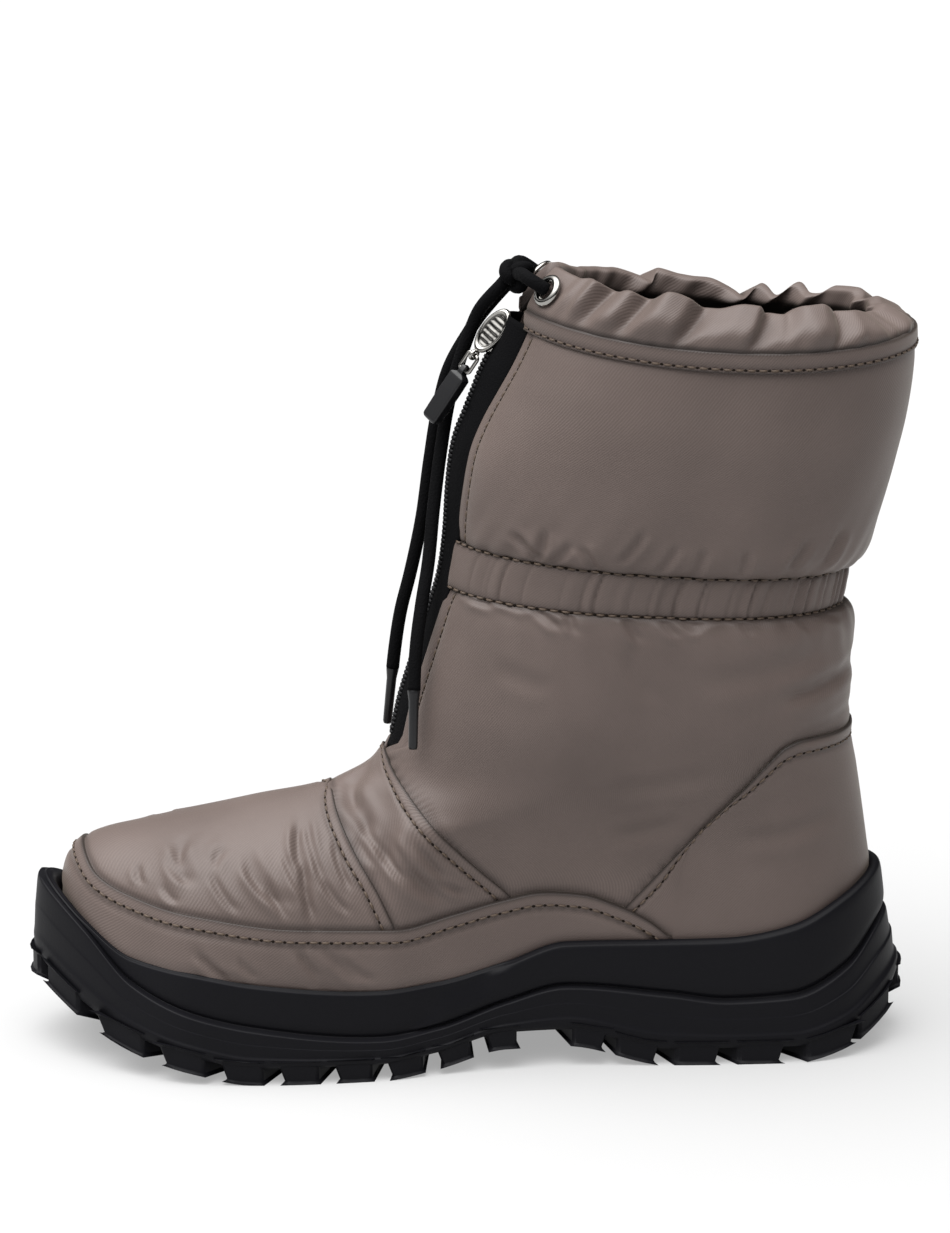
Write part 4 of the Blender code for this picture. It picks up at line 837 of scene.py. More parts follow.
def both_sides(half):
    """A whole outline from its half: down one side and back up the other."""
    return np.concatenate([half, half[-2:0:-1] * (-1, 1)])


def zip_frame(z, lift=0.0, tilt=0.0, swing=0.0):
    """A place lifted off the zip's middle, with the directions across, down and out.

    They are tilted forwards, then swung about the way down.
    """
    here = np.array([front_x(z), SHAFT_CENTRE, z])
    down = unit((front_x(z - 5) - front_x(z), 0, -5))
    across = np.array([0, 1.0, 0])
    out = np.cross(down, across)
    tilted = down * math.cos(tilt) + out * math.sin(tilt)
    swung = across * math.cos(swing) - np.cross(tilted, across) * math.sin(swing)
    return here + out * lift, np.array([swung, tilted, np.cross(tilted, swung)])


def in_frame(place, flat, out):
    """World points from an outline across and down a frame, at a distance out of it."""
    at, directions = place
    return at + flat @ directions[:2] + out * directions[2]


def sole_outline(turn, inset, heel=0.0, toe=0.0):
    """x and y of the sole's outline, drawn in at the sides, heel and toe."""
    rear, front = SOLE_REAR + heel, SOLE_FRONT - toe
    x = rear + (front - rear) * (1 - np.cos(turn)) / 2
    half = (sole("half", x) - inset) * dome((front - x) / TOE_ROUND) * dome((x - rear) / HEEL_ROUND)
    return x, sole("centre", x) + np.where(np.mod(turn, FULL_TURN) < math.pi, half, -half)


def sole_rings(turn):
    """Rings of the sole's side from the tread base to the rim, with its ribs, groove and steps."""
    rings = []
    for stage, share, inset, heel, toe, recess in zip(*SIDE_STEPS.values()):
        x, _ = sole_outline(turn, inset, heel, toe)
        step = ARCH_STEP_LOW + (ARCH_STEP_HIGH - ARCH_STEP_LOW) * share
        x, y = sole_outline(turn, inset + recess * smooth((x - step) / ARCH_STEP_RUN), heel, toe)
        base = sole("tread", x) + LUG_HEIGHT
        low, high = (sole("tier", x), sole("rim", x)) if stage else (base, sole("tier", x))
        rings.append(np.stack([x, y, low + (high - low) * share], -1))
    return np.array(rings)


def through(rings, steps):
    """Finer rings on smooth lines through the given ones."""
    slope = np.gradient(rings, axis=0) * 0.7
    at = np.linspace(0, len(rings) - 1, (len(rings) - 1) * steps + 1)
    i = np.minimum(at.astype(int), len(rings) - 2)
    return cubic(rings, slope, i, (at - i)[:, None, None])


def lug_block(turns, slant):
    """Points of one edge lug: its foot on the tread, its top sunk into the sole, longer by the slant."""
    turns = np.asarray(turns, float)
    foot_x, foot_y = sole_outline(turns, LUG_INSET)
    deep_x, deep_y = sole_outline(turns, LUG_DEPTH, LUG_DEPTH, LUG_DEPTH)
    x, y = np.concatenate([foot_x, deep_x[::-1]]), np.concatenate([foot_y, deep_y[::-1]])
    foot = np.stack([x, y, sole("tread", x)], -1)
    top = np.stack([x, y, sole("tread", x) + LUG_HEIGHT + LUG_SINK], -1)
    leading = np.isclose(np.concatenate([turns, turns[::-1]]), turns[0 if slant < 0 else -1])
    top[:, 0] += np.where(leading, slant, 0)
    return foot, top


def middle_block(x, length, width):
    """A six-sided lug on the middle of the tread."""
    ends, waist = length / 2, width / 2
    outline = np.array([(ends, waist / 3), (ends, -waist / 3), (0, -waist), (-ends, -waist / 3),
                        (-ends, waist / 3), (0, waist)])
    foot = np.column_stack([x + outline[:, 0], sole("centre", np.full(6, x)) + outline[:, 1], np.zeros(6)])
    foot[:, 2] = sole("tread", foot[:, 0])
    return foot, foot + (0, 0, LUG_HEIGHT + LUG_SINK)


def lug_blocks():
    """Every lug of the tread as pairs of outlines, foot and top."""
    spans_x = [(FIRST_LUG - LUG_PITCH * k + PITCH_CHANGE * k * k, LUG_LENGTH - LUG_SHRINK * k, LUG_SLANT)
               for k in range(FOREFOOT_LUGS)]
    spans_x += [(x, length, -LUG_SLANT) for x, length in zip(*HEEL_LUGS.values())]
    found = []
    for x, length, slant in spans_x:
        turns = np.linspace(*turn_at([x - length / 2, x + length / 2]), 5)
        found += [lug_block(turns, slant), lug_block(FULL_TURN - turns, slant)]
    found += [lug_block(np.linspace(t - s, t + s, 5), 0) for t, s in zip(*TIP_LUGS.values())]
    return found + [middle_block(*row) for row in zip(*MIDDLE_LUGS.values())]


def collar_frame(turn):
    """Points of the collar seam and level directions out of it."""
    seam, out = skin(turn, np.ones_like(turn))
    return seam, unit(out * (1, 1, 0))


def collar_point(turn, out, up, depth=0.0):
    """A point of the collar: out from the seam and up by a share of its height, with the pleats.

    The rim's height over its mean tells peaks from valleys: a peak stands out and a valley falls in, less
    towards the foot, and each leans a little to the front as it runs down. Fine ripples, creases at the
    foot of the valleys and a puff halfway up are added, and all of it calms down towards the zip.
    """
    seam, level_out = collar_frame(turn)
    signed = np.mod(turn + math.pi, FULL_TURN) - math.pi
    from_zip = math.pi - np.abs(signed)
    leaned = signed - np.sign(signed) * PLEAT_LEAN * (1 - up)
    calm = smooth((from_zip - 0.3) / 0.3) * depth
    pleat = curve(leaned, RIM["turn"], RIM["height"]) - curve(leaned, RIM_MEAN["turn"], RIM_MEAN["height"])
    pleat = pleat * calm * smooth((up - 0.22) / 0.5)
    fine = RIPPLE * np.sin(47 * leaned + 3 * np.sin(7 * leaned)) * smooth(1.3 - up) * smooth(up / 0.3)
    sunk = np.zeros_like(pleat)
    for at, deep, lean in zip(*COLLAR_CREASES.values()):
        off = (signed - at - lean * (1 - up)) / CREASE_SPREAD
        sunk = sunk + deep * furrow(off, COLLAR_WAVES)
    puff = PUFF * bell((up - 0.6) / 0.22) * smooth((from_zip - 0.5) / 0.4) * depth
    puff = np.where(out > COLLAR_INSIDE, puff, 0)
    out = out + puff + sunk * smooth((up - 0.28) / 0.3) * calm + pleat + fine * calm
    place = seam + level_out * out[..., None]
    place[..., 2] += COLLAR_LIFT + up * (curve(signed, RIM_MEAN["turn"], RIM_MEAN["height"]) + pleat)
    return place


def shader_of(made):
    """Inputs of a material's own shader."""
    return made.node_tree.nodes["Principled BSDF"].inputs


def shader_node(tree, kind, values=(), links=(), **settings):
    """A node with its settings made, its constant inputs set and its other inputs linked to outputs."""
    node = tree.nodes.new("ShaderNode" + kind)
    for key, value in settings.items():
        setattr(node, key, value)
    for key, value in dict(values).items():
        node.inputs[key].default_value = value
    for key, output in dict(links).items():
        tree.links.new(output, node.inputs[key])
    return node


def plain(name, colour, roughness, metallic=0.0, **sockets):
    """A material with constant values on the shader's own sockets."""
    made = bpy.data.materials.new(name)
    made.use_nodes = True
    values = {"Base Color": (*colour, 1), "Roughness": roughness, "Metallic": metallic}
    values.update((socket.replace("_", " "), value) for socket, value in sockets.items())
    for socket, value in values.items():
        shader_of(made)[socket].default_value = value
    return made


def bumped(made, scale, strength, distance):
    """Adds a fine grain to a material, from noise in its own coordinates."""
    tree = made.node_tree
    place = shader_node(tree, "TexCoord").outputs["Object"]
    noise = shader_node(tree, "TexNoise", {"Scale": scale, "Detail": 2.0}, {"Vector": place}).outputs["Fac"]
    bump = shader_node(tree, "Bump", {"Strength": strength, "Distance": distance}, {"Height": noise})
    tree.links.new(bump.outputs["Normal"], shader_of(made)["Normal"])
    return made


def toned(made, colour, tone=None):
    """Darkens a material's colour by the piece's own shade, and by a tone where one is given."""
    tree = made.node_tree
    shade = shader_node(tree, "Attribute", attribute_name="shade").outputs["Fac"]
    if tone is not None:
        shade = shader_node(tree, "Math", (), {0: tone, 1: shade}, operation="MULTIPLY").outputs[0]
    hue = shader_node(tree, "Mix", {"Factor": 1.0, "A": (*colour, 1)}, {"B": shade},
                      data_type="RGBA", blend_type="MULTIPLY")
    tree.links.new(hue.outputs["Result"], shader_of(made)["Base Color"])
    return made


def woven(made, colour, tint, pitch):
    """Makes a material satin twill: diagonal weave in the piece's UV, slow changes of tone, soft sheen."""
    for socket, value in {"Sheen Weight": 0.08, "Sheen Roughness": 0.4, "Sheen Tint": (*tint, 1)}.items():
        shader_of(made)[socket].default_value = value
    tree = made.node_tree
    place = shader_node(tree, "TexCoord").outputs
    lines = {"Scale": 1 / (pitch * WEAVE_BANDS), "Distortion": 1.5, "Detail": 2.0}
    weave = shader_node(tree, "TexWave", lines, {"Vector": place["UV"]}, bands_direction="DIAGONAL")
    grain = shader_node(tree, "TexNoise", {"Scale": 1500, "Detail": 3.0}, {"Vector": place["UV"]})
    cloth = shader_node(tree, "Math", (), {0: weave.outputs["Fac"], 1: grain.outputs["Fac"]},
                        operation="ADD").outputs[0]
    bump = shader_node(tree, "Bump", {"Strength": 0.22, "Distance": 0.0002}, {"Height": cloth})
    tree.links.new(bump.outputs["Normal"], shader_of(made)["Normal"])
    cloud = shader_node(tree, "TexNoise", {"Scale": 28, "Detail": 4.0}, {"Vector": place["Object"]})
    slow = shader_node(tree, "MapRange", {"From Min": 0.3, "From Max": 0.7, "To Min": 0.9, "To Max": 1.1},
                       {"Value": cloud.outputs["Fac"]})
    fleck = shader_node(tree, "MapRange", {"From Max": 2.0, "To Min": 0.84, "To Max": 1.16}, {"Value": cloth})
    tone = shader_node(tree, "Math", (), {0: slow.outputs["Result"], 1: fleck.outputs["Result"]},
                       operation="MULTIPLY")
    return toned(made, colour, tone.outputs[0])


def finish(name):
    """The named material, made when it is first asked for."""
    found = bpy.data.materials.get(name)
    if found and found.get("boot"):
        return found
    colours, sizes = bpy.context.scene.boot_colours, bpy.context.scene.boot_sizes
    _, key, roughness, metallic, specular, *grain = FINISHES[name]
    colour = getattr(colours, key)
    made = plain(name, colour, roughness, metallic, Specular_IOR_Level=specular)
    if grain:
        bumped(made, *grain)
    if name == "nylon":
        woven(made, colour, colours.sheen, sizes.weave_pitch)
    elif name == "toned_chrome":
        toned(made, colour)
    made.name = name
    made["boot"] = True
    return made


def length_property(name, description, default):
    """A size in metres that a user can change."""
    return bpy.props.FloatProperty(name=name, description=description, default=default, unit="LENGTH")


def share_property(name, description):
    """A factor that a user can change, 1 as drawn."""
    return bpy.props.FloatProperty(name=name, description=description, default=1.0, subtype="FACTOR")


class BootSizes(bpy.types.PropertyGroup):
    """Sizes of the finish that a maker would choose."""

    stitch_pitch: length_property("Stitch pitch", "From one stitch to the next", 0.0038)
    stitch_length: length_property("Stitch length", "Visible length of one stitch", 0.0029)
    thread: length_property("Thread", "Thickness of the sewing thread", 0.0008)
    weave_pitch: length_property("Weave pitch", "From one line of the twill to the next", 0.0008)
    cord_diameter: length_property("Cord", "Diameter of the drawcord", 0.0044)
    crease_depth: share_property("Crease depth", "Depth of the creases, against those drawn")
    pleat_depth: share_property("Pleat depth", "Depth of the collar's pleats, against those drawn")
    gather_depth: length_property("Gather depth", "Height of the waist band's gathers", 0.0013)
    pucker_depth: length_property("Pucker depth", "Height of the puckers along the band's seams", 0.0009)
    padding_run: length_property("Padding run", "How far from a seam the padding is full", 0.010)


def colour_property(name, description, default):
    """A linear colour that a user can change."""
    return bpy.props.FloatVectorProperty(
        name=name, description=description, default=default, subtype="COLOR", size=3, min=0.0, max=1.0)


class BootColours(bpy.types.PropertyGroup):
    """Colours of the boot and its floor, linear."""

    nylon: colour_property("Nylon", "Cloth of the shaft, panels and collar", (0.108, 0.083, 0.0745))
    sheen: colour_property("Sheen", "Tint of the cloth's sheen", (0.96, 0.86, 0.68))
    thread: colour_property("Thread", "Sewing thread", (0.070, 0.046, 0.030))
    hole: colour_property("Needle hole", "Pits between the stitches", (0.010, 0.007, 0.005))
    rubber: colour_property("Rubber", "Sole unit", (0.0048, 0.0047, 0.0062))
    # Painted shade: colour of the dark beads that stand in for the shadow in the needle holes
    lining: colour_property("Lining", "Inside of the shaft", (0.030, 0.025, 0.023))
    felt: colour_property("Felt", "Footbed", (0.05, 0.045, 0.042))
    cord: colour_property("Cord", "Drawcord and zip tape", (0.0028, 0.0028, 0.0032))
    plastic: colour_property("Plastic", "Pull tab, aglets and zip teeth", (0.006, 0.006, 0.007))
    metal: colour_property("Metal", "Eyelets, slider cap and link", (0.36, 0.35, 0.33))
    floor: colour_property("Floor", "Studio floor", (0.268, 0.268, 0.268))


class BOOT_OT_stage(bpy.types.Operator):
    """Pale floor, soft studio light and the camera"""

    bl_idname = "boot.stage"
    bl_label = "Stage"

    def execute(self, context):
        scene = context.scene
        lens = bpy.data.cameras.new("camera")
        lens.lens, lens.sensor_width, lens.clip_end = CAMERA_LENS, CAMERA_SENSOR, CAMERA_FAR
        camera = bpy.data.objects.new("camera", lens)
        scene.collection.objects.link(camera)
        camera.location = CAMERA_AT
        aim_at(camera, CAMERA_AIM)
        scene.camera = camera

        mesh = bpy.data.meshes.new("floor")
        corners = [(x * FLOOR_HALF, y * FLOOR_HALF, 0) for x, y in ((-1, -1), (1, -1), (1, 1), (-1, 1))]
        mesh.from_pydata(corners, [], [(0, 1, 2, 3)])
        mesh.materials.append(plain("floor", scene.boot_colours.floor, 0.9, Emission_Color=(1, 1, 1, 1),
                                    Emission_Strength=FLOOR_GLOW))
        floor = bpy.data.objects.new("floor", mesh)
        scene.collection.objects.link(floor)

        world = bpy.data.worlds.new("studio")
        world.use_nodes = True
        tree = world.node_tree
        place = shader_node(tree, "TexCoord").outputs["Generated"]
        facing = shader_node(tree, "VectorMath", {1: unit(LIGHT_FROM)}, {0: place}, operation="DOT_PRODUCT")
        value = facing.outputs["Value"]
        for operation, amount in (("MAXIMUM", 0.0), ("POWER", LIGHT_GATHER), ("MULTIPLY", LIGHT_STRENGTH)):
            value = shader_node(tree, "Math", {1: amount}, {0: value}, operation=operation).outputs[0]
        background = tree.nodes["Background"].inputs
        background["Color"].default_value = (1, 1, 1, 1)
        tree.links.new(value, background["Strength"])
        scene.world = world
        scene.view_settings.view_transform = "Standard"
        scene.view_settings.look = "None"
        return {"FINISHED"}


def aim_at(camera, target):
    """Turns a camera towards a point."""
    away = camera.location.copy()
    away.x, away.y, away.z = (a - b for a, b in zip(camera.location, target))
    camera.rotation_euler = away.to_track_quat("Z", "Y").to_euler()


def eyelet_place(hand):
    """Place of an eyelet on the collar and the direction out of it."""
    turn, up = np.array([math.pi + hand * EYELET_TURN]), np.array([EYELET_UP])
    low, high = COLLAR_SECTION["up"][1:3]
    out = np.interp(EYELET_UP, (low, high), COLLAR_SECTION["out"][1:3])
    near = [collar_point(turn + step, np.array([out]), up)[0] for step in (-0.05, 0.05)]
    below, above = [collar_point(turn, np.array([o]), np.array([u]))[0]
                    for o, u in zip(COLLAR_SECTION["out"][1:3], (low, high))]
    axis = unit(np.cross(above - below, near[1] - near[0]))
    return (near[0] + near[1]) / 2 + axis * EYELET_STAND, axis


class BOOT_OT_drawcord(bpy.types.Operator):
    """Drawcord: two cords from the eyelets, each across through one knot and down to an aglet"""

    bl_idname = "boot.drawcord"
    bl_label = "Drawcord"

    def execute(self, context):
        diameter = context.scene.boot_sizes.cord_diameter
        t = around(144)
        trefoil = np.column_stack([np.sin(t) + 2 * np.sin(2 * t), 1.6 * np.sin(3 * t),
                                   np.cos(t) - 2 * np.cos(2 * t)])
        rings = tube(np.array(KNOT_AT) + trefoil * KNOT_RADIUS / 3, KNOT_STRAND, 14, loop=True)
        tied = put("cord_knot", *barrel(rings, True), "cord", ["drawcord_knot"])
        for side, lead, hand in (("outer", "inner", 1), ("inner", "outer", -1)):
            at, out = eyelet_place(hand)
            path = flowing((at + out * LEAD_START, *CORD_ROUTES[side]), CORD_STEP)
            rings = tube(path, diameter / MM / 2, 16)
            cord = put("drawcord_" + side, *barrel(rings), "cord",
                       ["drawcord_lead_" + lead, "drawcord_end_" + side])
            along = unit(path[-1] - path[-2])
            rings = turned(path[-1] - along * AGLET_OVERLAP, along, AGLET_SECTION["radius"],
                           AGLET_SECTION["along"], 24)
            aglet = put("cord_aglet_" + side, *barrel(rings), "plastic", ["aglet_" + side])
        return {"FINISHED"}


class BOOT_OT_sole(bpy.types.Operator):
    """Sole unit: the moulded wall with its ribs and the lugs of the tread"""

    bl_idname = "boot.sole"
    bl_label = "Sole"

    def execute(self, context):
        turn = around(480)
        x, y = sole_outline(turn, UNDER_INSET, UNDER_INSET, UNDER_INSET)
        rings = [np.stack([x, y, sole("tread", x) + LUG_HEIGHT], -1), *through(sole_rings(turn), 6)]
        for inset, drop in CUP_LIP:
            x, y = sole_outline(turn, inset, inset + 4.5, inset + 2.0)
            rings.append(np.stack([x, y, sole("rim", x) - drop], -1))
        x, y = sole_outline(turn, CUP_WALL + 3, CUP_WALL + 8, CUP_WALL + 6)
        rings.append(np.stack([x, y, sole("seat", x) - 2], -1))
        put("sole_wall", *flat_ended(np.array(rings)), "rubber", ["sole_unit"])

        points, groups = [], []
        for foot, top in lug_blocks():
            count, start = len(foot), sum(map(len, points))
            k = np.arange(count)
            after = (k + 1) % count
            ends = [np.stack([after, k, k + count, after + count], 1), np.stack([k[::-1], k + count])]
            points.append(np.concatenate([foot, top]))
            groups += [faces + start for faces in outward(points[-1], ends)]
        made = put("tread_lugs", np.concatenate(points), groups, "rubber")
        bevel = made.modifiers.new("edges", "BEVEL")
        bevel.width, bevel.segments, bevel.limit_method = LUG_BEVEL * MM, 2, "ANGLE"
        made.data.set_sharp_from_angle(angle=SHARP)
        return {"FINISHED"}


def shaft_grid(name, low, high):
    """Turns, levels, points and outs of a shaft piece between two front heights, open at the zip."""
    rows, columns = GRIDS[name]
    levels = level_at(low) + (level_at(high) - level_at(low)) * graded(rows, 0.75)
    half = SLIT_HALF * dome((front_height(levels) - THROAT_Z) / SLIT_END)
    gap = np.where(half > 0, slit_turn(levels, half), 0)
    turns = (math.pi - gap)[:, None] * (2 * graded(columns, 0.5) - 1)[None, :]
    levels = np.repeat(levels[:, None], columns, axis=1)
    return (turns, levels, *skin(turns, levels))


def band_depth(turn):
    """How deep the waist band draws the cloth in: least at the front, most at the back."""
    return BAND_DEPTH_FRONT + (BAND_DEPTH_BACK - BAND_DEPTH_FRONT) * (1 + np.cos(turn)) / 2


def pucker(along, off, reach):
    """Short and long wrinkles that run off a seam and fade, uneven along it."""
    near = np.sin(FULL_TURN * along / 11.5 + 2.2 * np.sin(along / 17)) * np.exp(-off / reach)
    long = np.sin(FULL_TURN * along / 29 + off / 9 + 1.4 * np.sin(along / 31))
    return 0.65 * near + 0.6 * long * np.exp(-off / (2.4 * reach)) * smooth(off / 3)


def zip_edge_relief(edge):
    """Flat binding beside the zip, a stitched groove, then the padding."""
    bound = -BINDING_DEEP - GROOVE * bell(edge - BINDING + BINDING_STITCH)
    return np.where(edge < BINDING, bound, -BINDING_DEEP * (1 - dome((edge - BINDING) / 9)))


def zip_seams(face, out):
    """Stitch lines down both sides of the zip, just inside the binding's edge."""
    return [thread_line(face, out, BINDING - BINDING_STITCH, far) for far in (False, True)]


def padded_relief(turns, levels, base, seam, start, reach, sizes):
    """Face of a padded piece off the skin by the distance from the band's seam, and how clear of the zip.

    The band draws the cloth in, and the padding swells to full over its run. Puckers run off the seam,
    creases fade towards it, and a flat binding borders the zip.
    """
    u, edge = spans(base, 1), from_ends(base, 1)
    open_row = smooth((front_height(levels) - THROAT_Z) / 6)
    calm = 1 - open_row * (1 - smooth((edge - BINDING) / 12))
    face = band_depth(turns) * (dome(seam / (sizes.padding_run / MM)) - 1)
    face += 0.6 * sizes.pucker_depth / MM * calm * pucker(u + start, seam, reach)
    face += zip_edge_relief(edge) * open_row
    face += cloth_relief(base, turns, sizes) * calm * smooth(seam / 8)
    return face + pucker_relief(base, turns, sizes) * calm * smooth(seam / 1.5), calm


def gathers(u, turns, sizes):
    """Gathers of the elastic band: rounded ribs, closer and higher towards the back, uneven along it."""
    back = (1 + np.cos(turns)) / 2
    phase = np.cumsum(np.gradient(u, axis=1) / (GATHER_FRONT - GATHER_CLOSER * smooth(back / 0.7)), axis=1)
    phase = phase + 0.3 * np.sin(2.3 * phase) + 0.22 * np.sin(5.1 * phase + 1)
    rib = np.sqrt(np.abs(np.sin(math.pi * phase)) + 0.03) - 0.7
    uneven = 0.7 + 0.5 * np.sin(1.7 * phase + 2)
    return sizes.gather_depth / MM * (0.7 + 0.8 * smooth(back / 0.6)) * rib * uneven


def seam_shade(off, halo, line):
    """Shade beside a seam: a soft dark halo and a dark line, each over its own distance."""
    return (1 - 0.2 * bell(off / halo)) * (1 - 0.5 * bell(off / line))


class BOOT_OT_shaft(bpy.types.Operator):
    """Padded shaft above and below the elastic waist band, its lining and the footbed"""

    bl_idname = "boot.shaft"
    bl_label = "Shaft"

    def execute(self, context):
        sizes = context.scene.boot_sizes
        turns, levels, base, out = shaft_grid("shaft_upper", BAND_HIGH, COLLAR_SEAM)
        seam = spans(base, 0)
        off, calm = padded_relief(turns, levels, base, seam, 0, 9, sizes)
        off -= 0.9 * (1 - dome((seam[-1:] - seam) / 8)) * calm
        upper, face = put_sheet("shaft_upper", base, out, off, off - CLOTH, "nylon", ["upper"],
                                seam_shade(seam, 2.5, 0.8))
        lines = zip_seams(face[1:-8], out[1:-8])

        turns, levels, base, out = shaft_grid("shaft_lower", 0.0, BAND_LOW)
        seam = spans(base, 0)
        seam = seam[-1:] - seam
        off, _ = padded_relief(turns, levels, base, seam, 5, 10, sizes)
        dip = seam_hollow(base, [edge_line(COUNTER_EDGE, "x"), edge_line(INSTEP_EDGE, "z"),
                                 edge_line(MUDGUARD_TOP, "x")], SHAFT_DIP_REACH)
        x, z = base[..., 0], base[..., 2]
        covered = smooth((x - curve(z, INSTEP_EDGE["z"], INSTEP_EDGE["x"]) - 2) / 4) * smooth((100 - z) / 4)
        off -= SHAFT_DIP * dip + COVERED_DROP * covered
        lower, face = put_sheet("shaft_lower", base, out, off, off - CLOTH, "nylon",
                                shade=seam_shade(seam, 2.5, 0.8) * (1 - DIP_SHADE * dip))
        first = int(np.argmax(front_height(levels[:, 0]) > THROAT_Z + SLIT_END))
        lines += zip_seams(face[first:-1], out[first:-1])

        turns, _, base, out = shaft_grid("waist_band", BAND_LOW, BAND_HIGH)
        side = from_ends(base, 0)
        calm = smooth((from_ends(base, 1) - BINDING) / 6) * smooth(side / 2 + 0.3)
        off = dome(side / 5) - band_depth(turns) - BAND_SINK + gathers(spans(base, 1), turns, sizes) * calm
        _, face = put_sheet("waist_band", base, out, off, off - CLOTH, "nylon",
                            shade=seam_shade(side, 2.0, 0.7))
        lines += [(face[row] + 0.3 * out[row], out[row]) for row in (1, -2)]
        put_stitches("shaft_stitching", lines)

        _, _, base, out = shaft_grid("lining", 0.0, COLLAR_SEAM)
        off = np.full(base.shape[:2], -LINING_IN)
        put_sheet("lining", base, out, off, off - LINING_THICK, "lining")

        turn = around(160)
        rings = []
        for level, inset in FOOTBED_RINGS:
            base, out = skin(turn, np.full_like(turn, level))
            rings.append(base - out * inset)
        put("footbed", *flat_ended(np.array(rings)), "felt", ["insole"])
        return {"FINISHED"}


class BOOT_OT_panels(bpy.types.Operator):
    """Counter, instep panel, vamp and mudguard, laid on the shaft in that order and stitched"""

    bl_idname = "boot.panels"
    bl_label = "Panels"

    def execute(self, context):
        mudguard, vamp = edge_line(MUDGUARD_TOP, "x"), edge_line(VAMP_EDGE, "z")
        tail = skin_turn(COUNTER_TAIL)
        lines = self.upright("counter_panel", ["counter"], COUNTER_EDGE, (-tail, tail), COUNTER_OFF,
                             COUNTER_STITCH, [mudguard])
        lines += self.crosswise("instep_saddle", ["instep_panel"], INSTEP_EDGE, INSTEP_REACH, INSTEP_OFF,
                                INSTEP_STITCH, [mudguard, vamp])
        lines += self.crosswise("vamp_panel", ["vamp"], VAMP_EDGE, VAMP_REACH, VAMP_OFF,
                                VAMP_STITCH, [mudguard])
        tail = skin_turn(MUDGUARD_TAIL)
        lines += self.upright("mudguard_panel", ["mudguard"], MUDGUARD_TOP, (tail, FULL_TURN - tail),
                              MUDGUARD_OFF, MUDGUARD_STITCH, [])
        put_stitches("panel_stitching", lines)
        return {"FINISHED"}

    def upright(self, name, nodes, top, reach, off, stitch, under):
        """A panel whose columns run up from the sole's rim to its top edge; gives its stitch line."""
        rows, columns = GRIDS[name]
        turn = np.linspace(*reach, columns)
        mirrored = np.minimum(np.abs(turn), FULL_TURN - np.abs(turn))
        high = level_on(mirrored, top["x"], top["z"])
        low = np.minimum(level_on(mirrored, SOLE["x"], SOLE["rim"] - RIM_TUCK), high - 0.004)
        turns = np.repeat(turn[None, :], rows, axis=0)
        base, out = skin(turns, low + (high - low) * graded(rows, 0.7)[:, None])
        v = spans(base, 0)
        off = 0.2 + (off - 0.2) * smooth(v / 9)
        face = self.lay(name, nodes, base, out, turns, v[-1:] - v, off, stitch, under)
        return [thread_line(face.transpose(1, 0, 2), out.transpose(1, 0, 2), stitch, True)]

    def crosswise(self, name, nodes, side, reach, off, stitch, under):
        """A panel whose rows run across from one side's edge to the other's; gives its stitch lines.

        It stops at the height where the two edges meet.
        """
        rows, columns = GRIDS[name]
        levels = level_at(np.linspace(*reach, rows))
        edge = turn_on(levels, side["z"], side["x"])
        apart = edge < math.pi - 0.02
        levels, edge = levels[apart][:, None], edge[apart][:, None]
        turns = edge + (FULL_TURN - 2 * edge) * graded(columns, 0.8)
        base, out = skin(turns, levels)
        face = self.lay(name, nodes, base, out, turns, from_ends(base, 1), off, stitch, under)
        return [thread_line(face, out, stitch, far) for far in (False, True)]

    def lay(self, name, nodes, base, out, turns, edge, off, stitch, under):
        """A panel by the distance to its edge: a rolled lip, a stitched hollow, a dip at seams over it."""
        relief = cloth_relief(base, turns, bpy.context.scene.boot_sizes)
        dip = seam_hollow(base, under, DIP_REACH)
        face = LIP_FOOT + (off - LIP_FOOT) * dome(edge / LIP_ROLL) - DIP * dip
        face -= HOLLOW * bell((edge - stitch) / HOLLOW_REACH)
        shade = (1 - LIP_SHADE * bell(edge)) * (1 - HOLLOW_SHADE * bell(edge - stitch))
        back = np.minimum(face - LIP_ROLL, LIP_FOOT)
        return put_sheet(name, base, out, relief + face, relief + back, "nylon", nodes,
                         shade * (1 - DIP_SHADE * dip))[1]


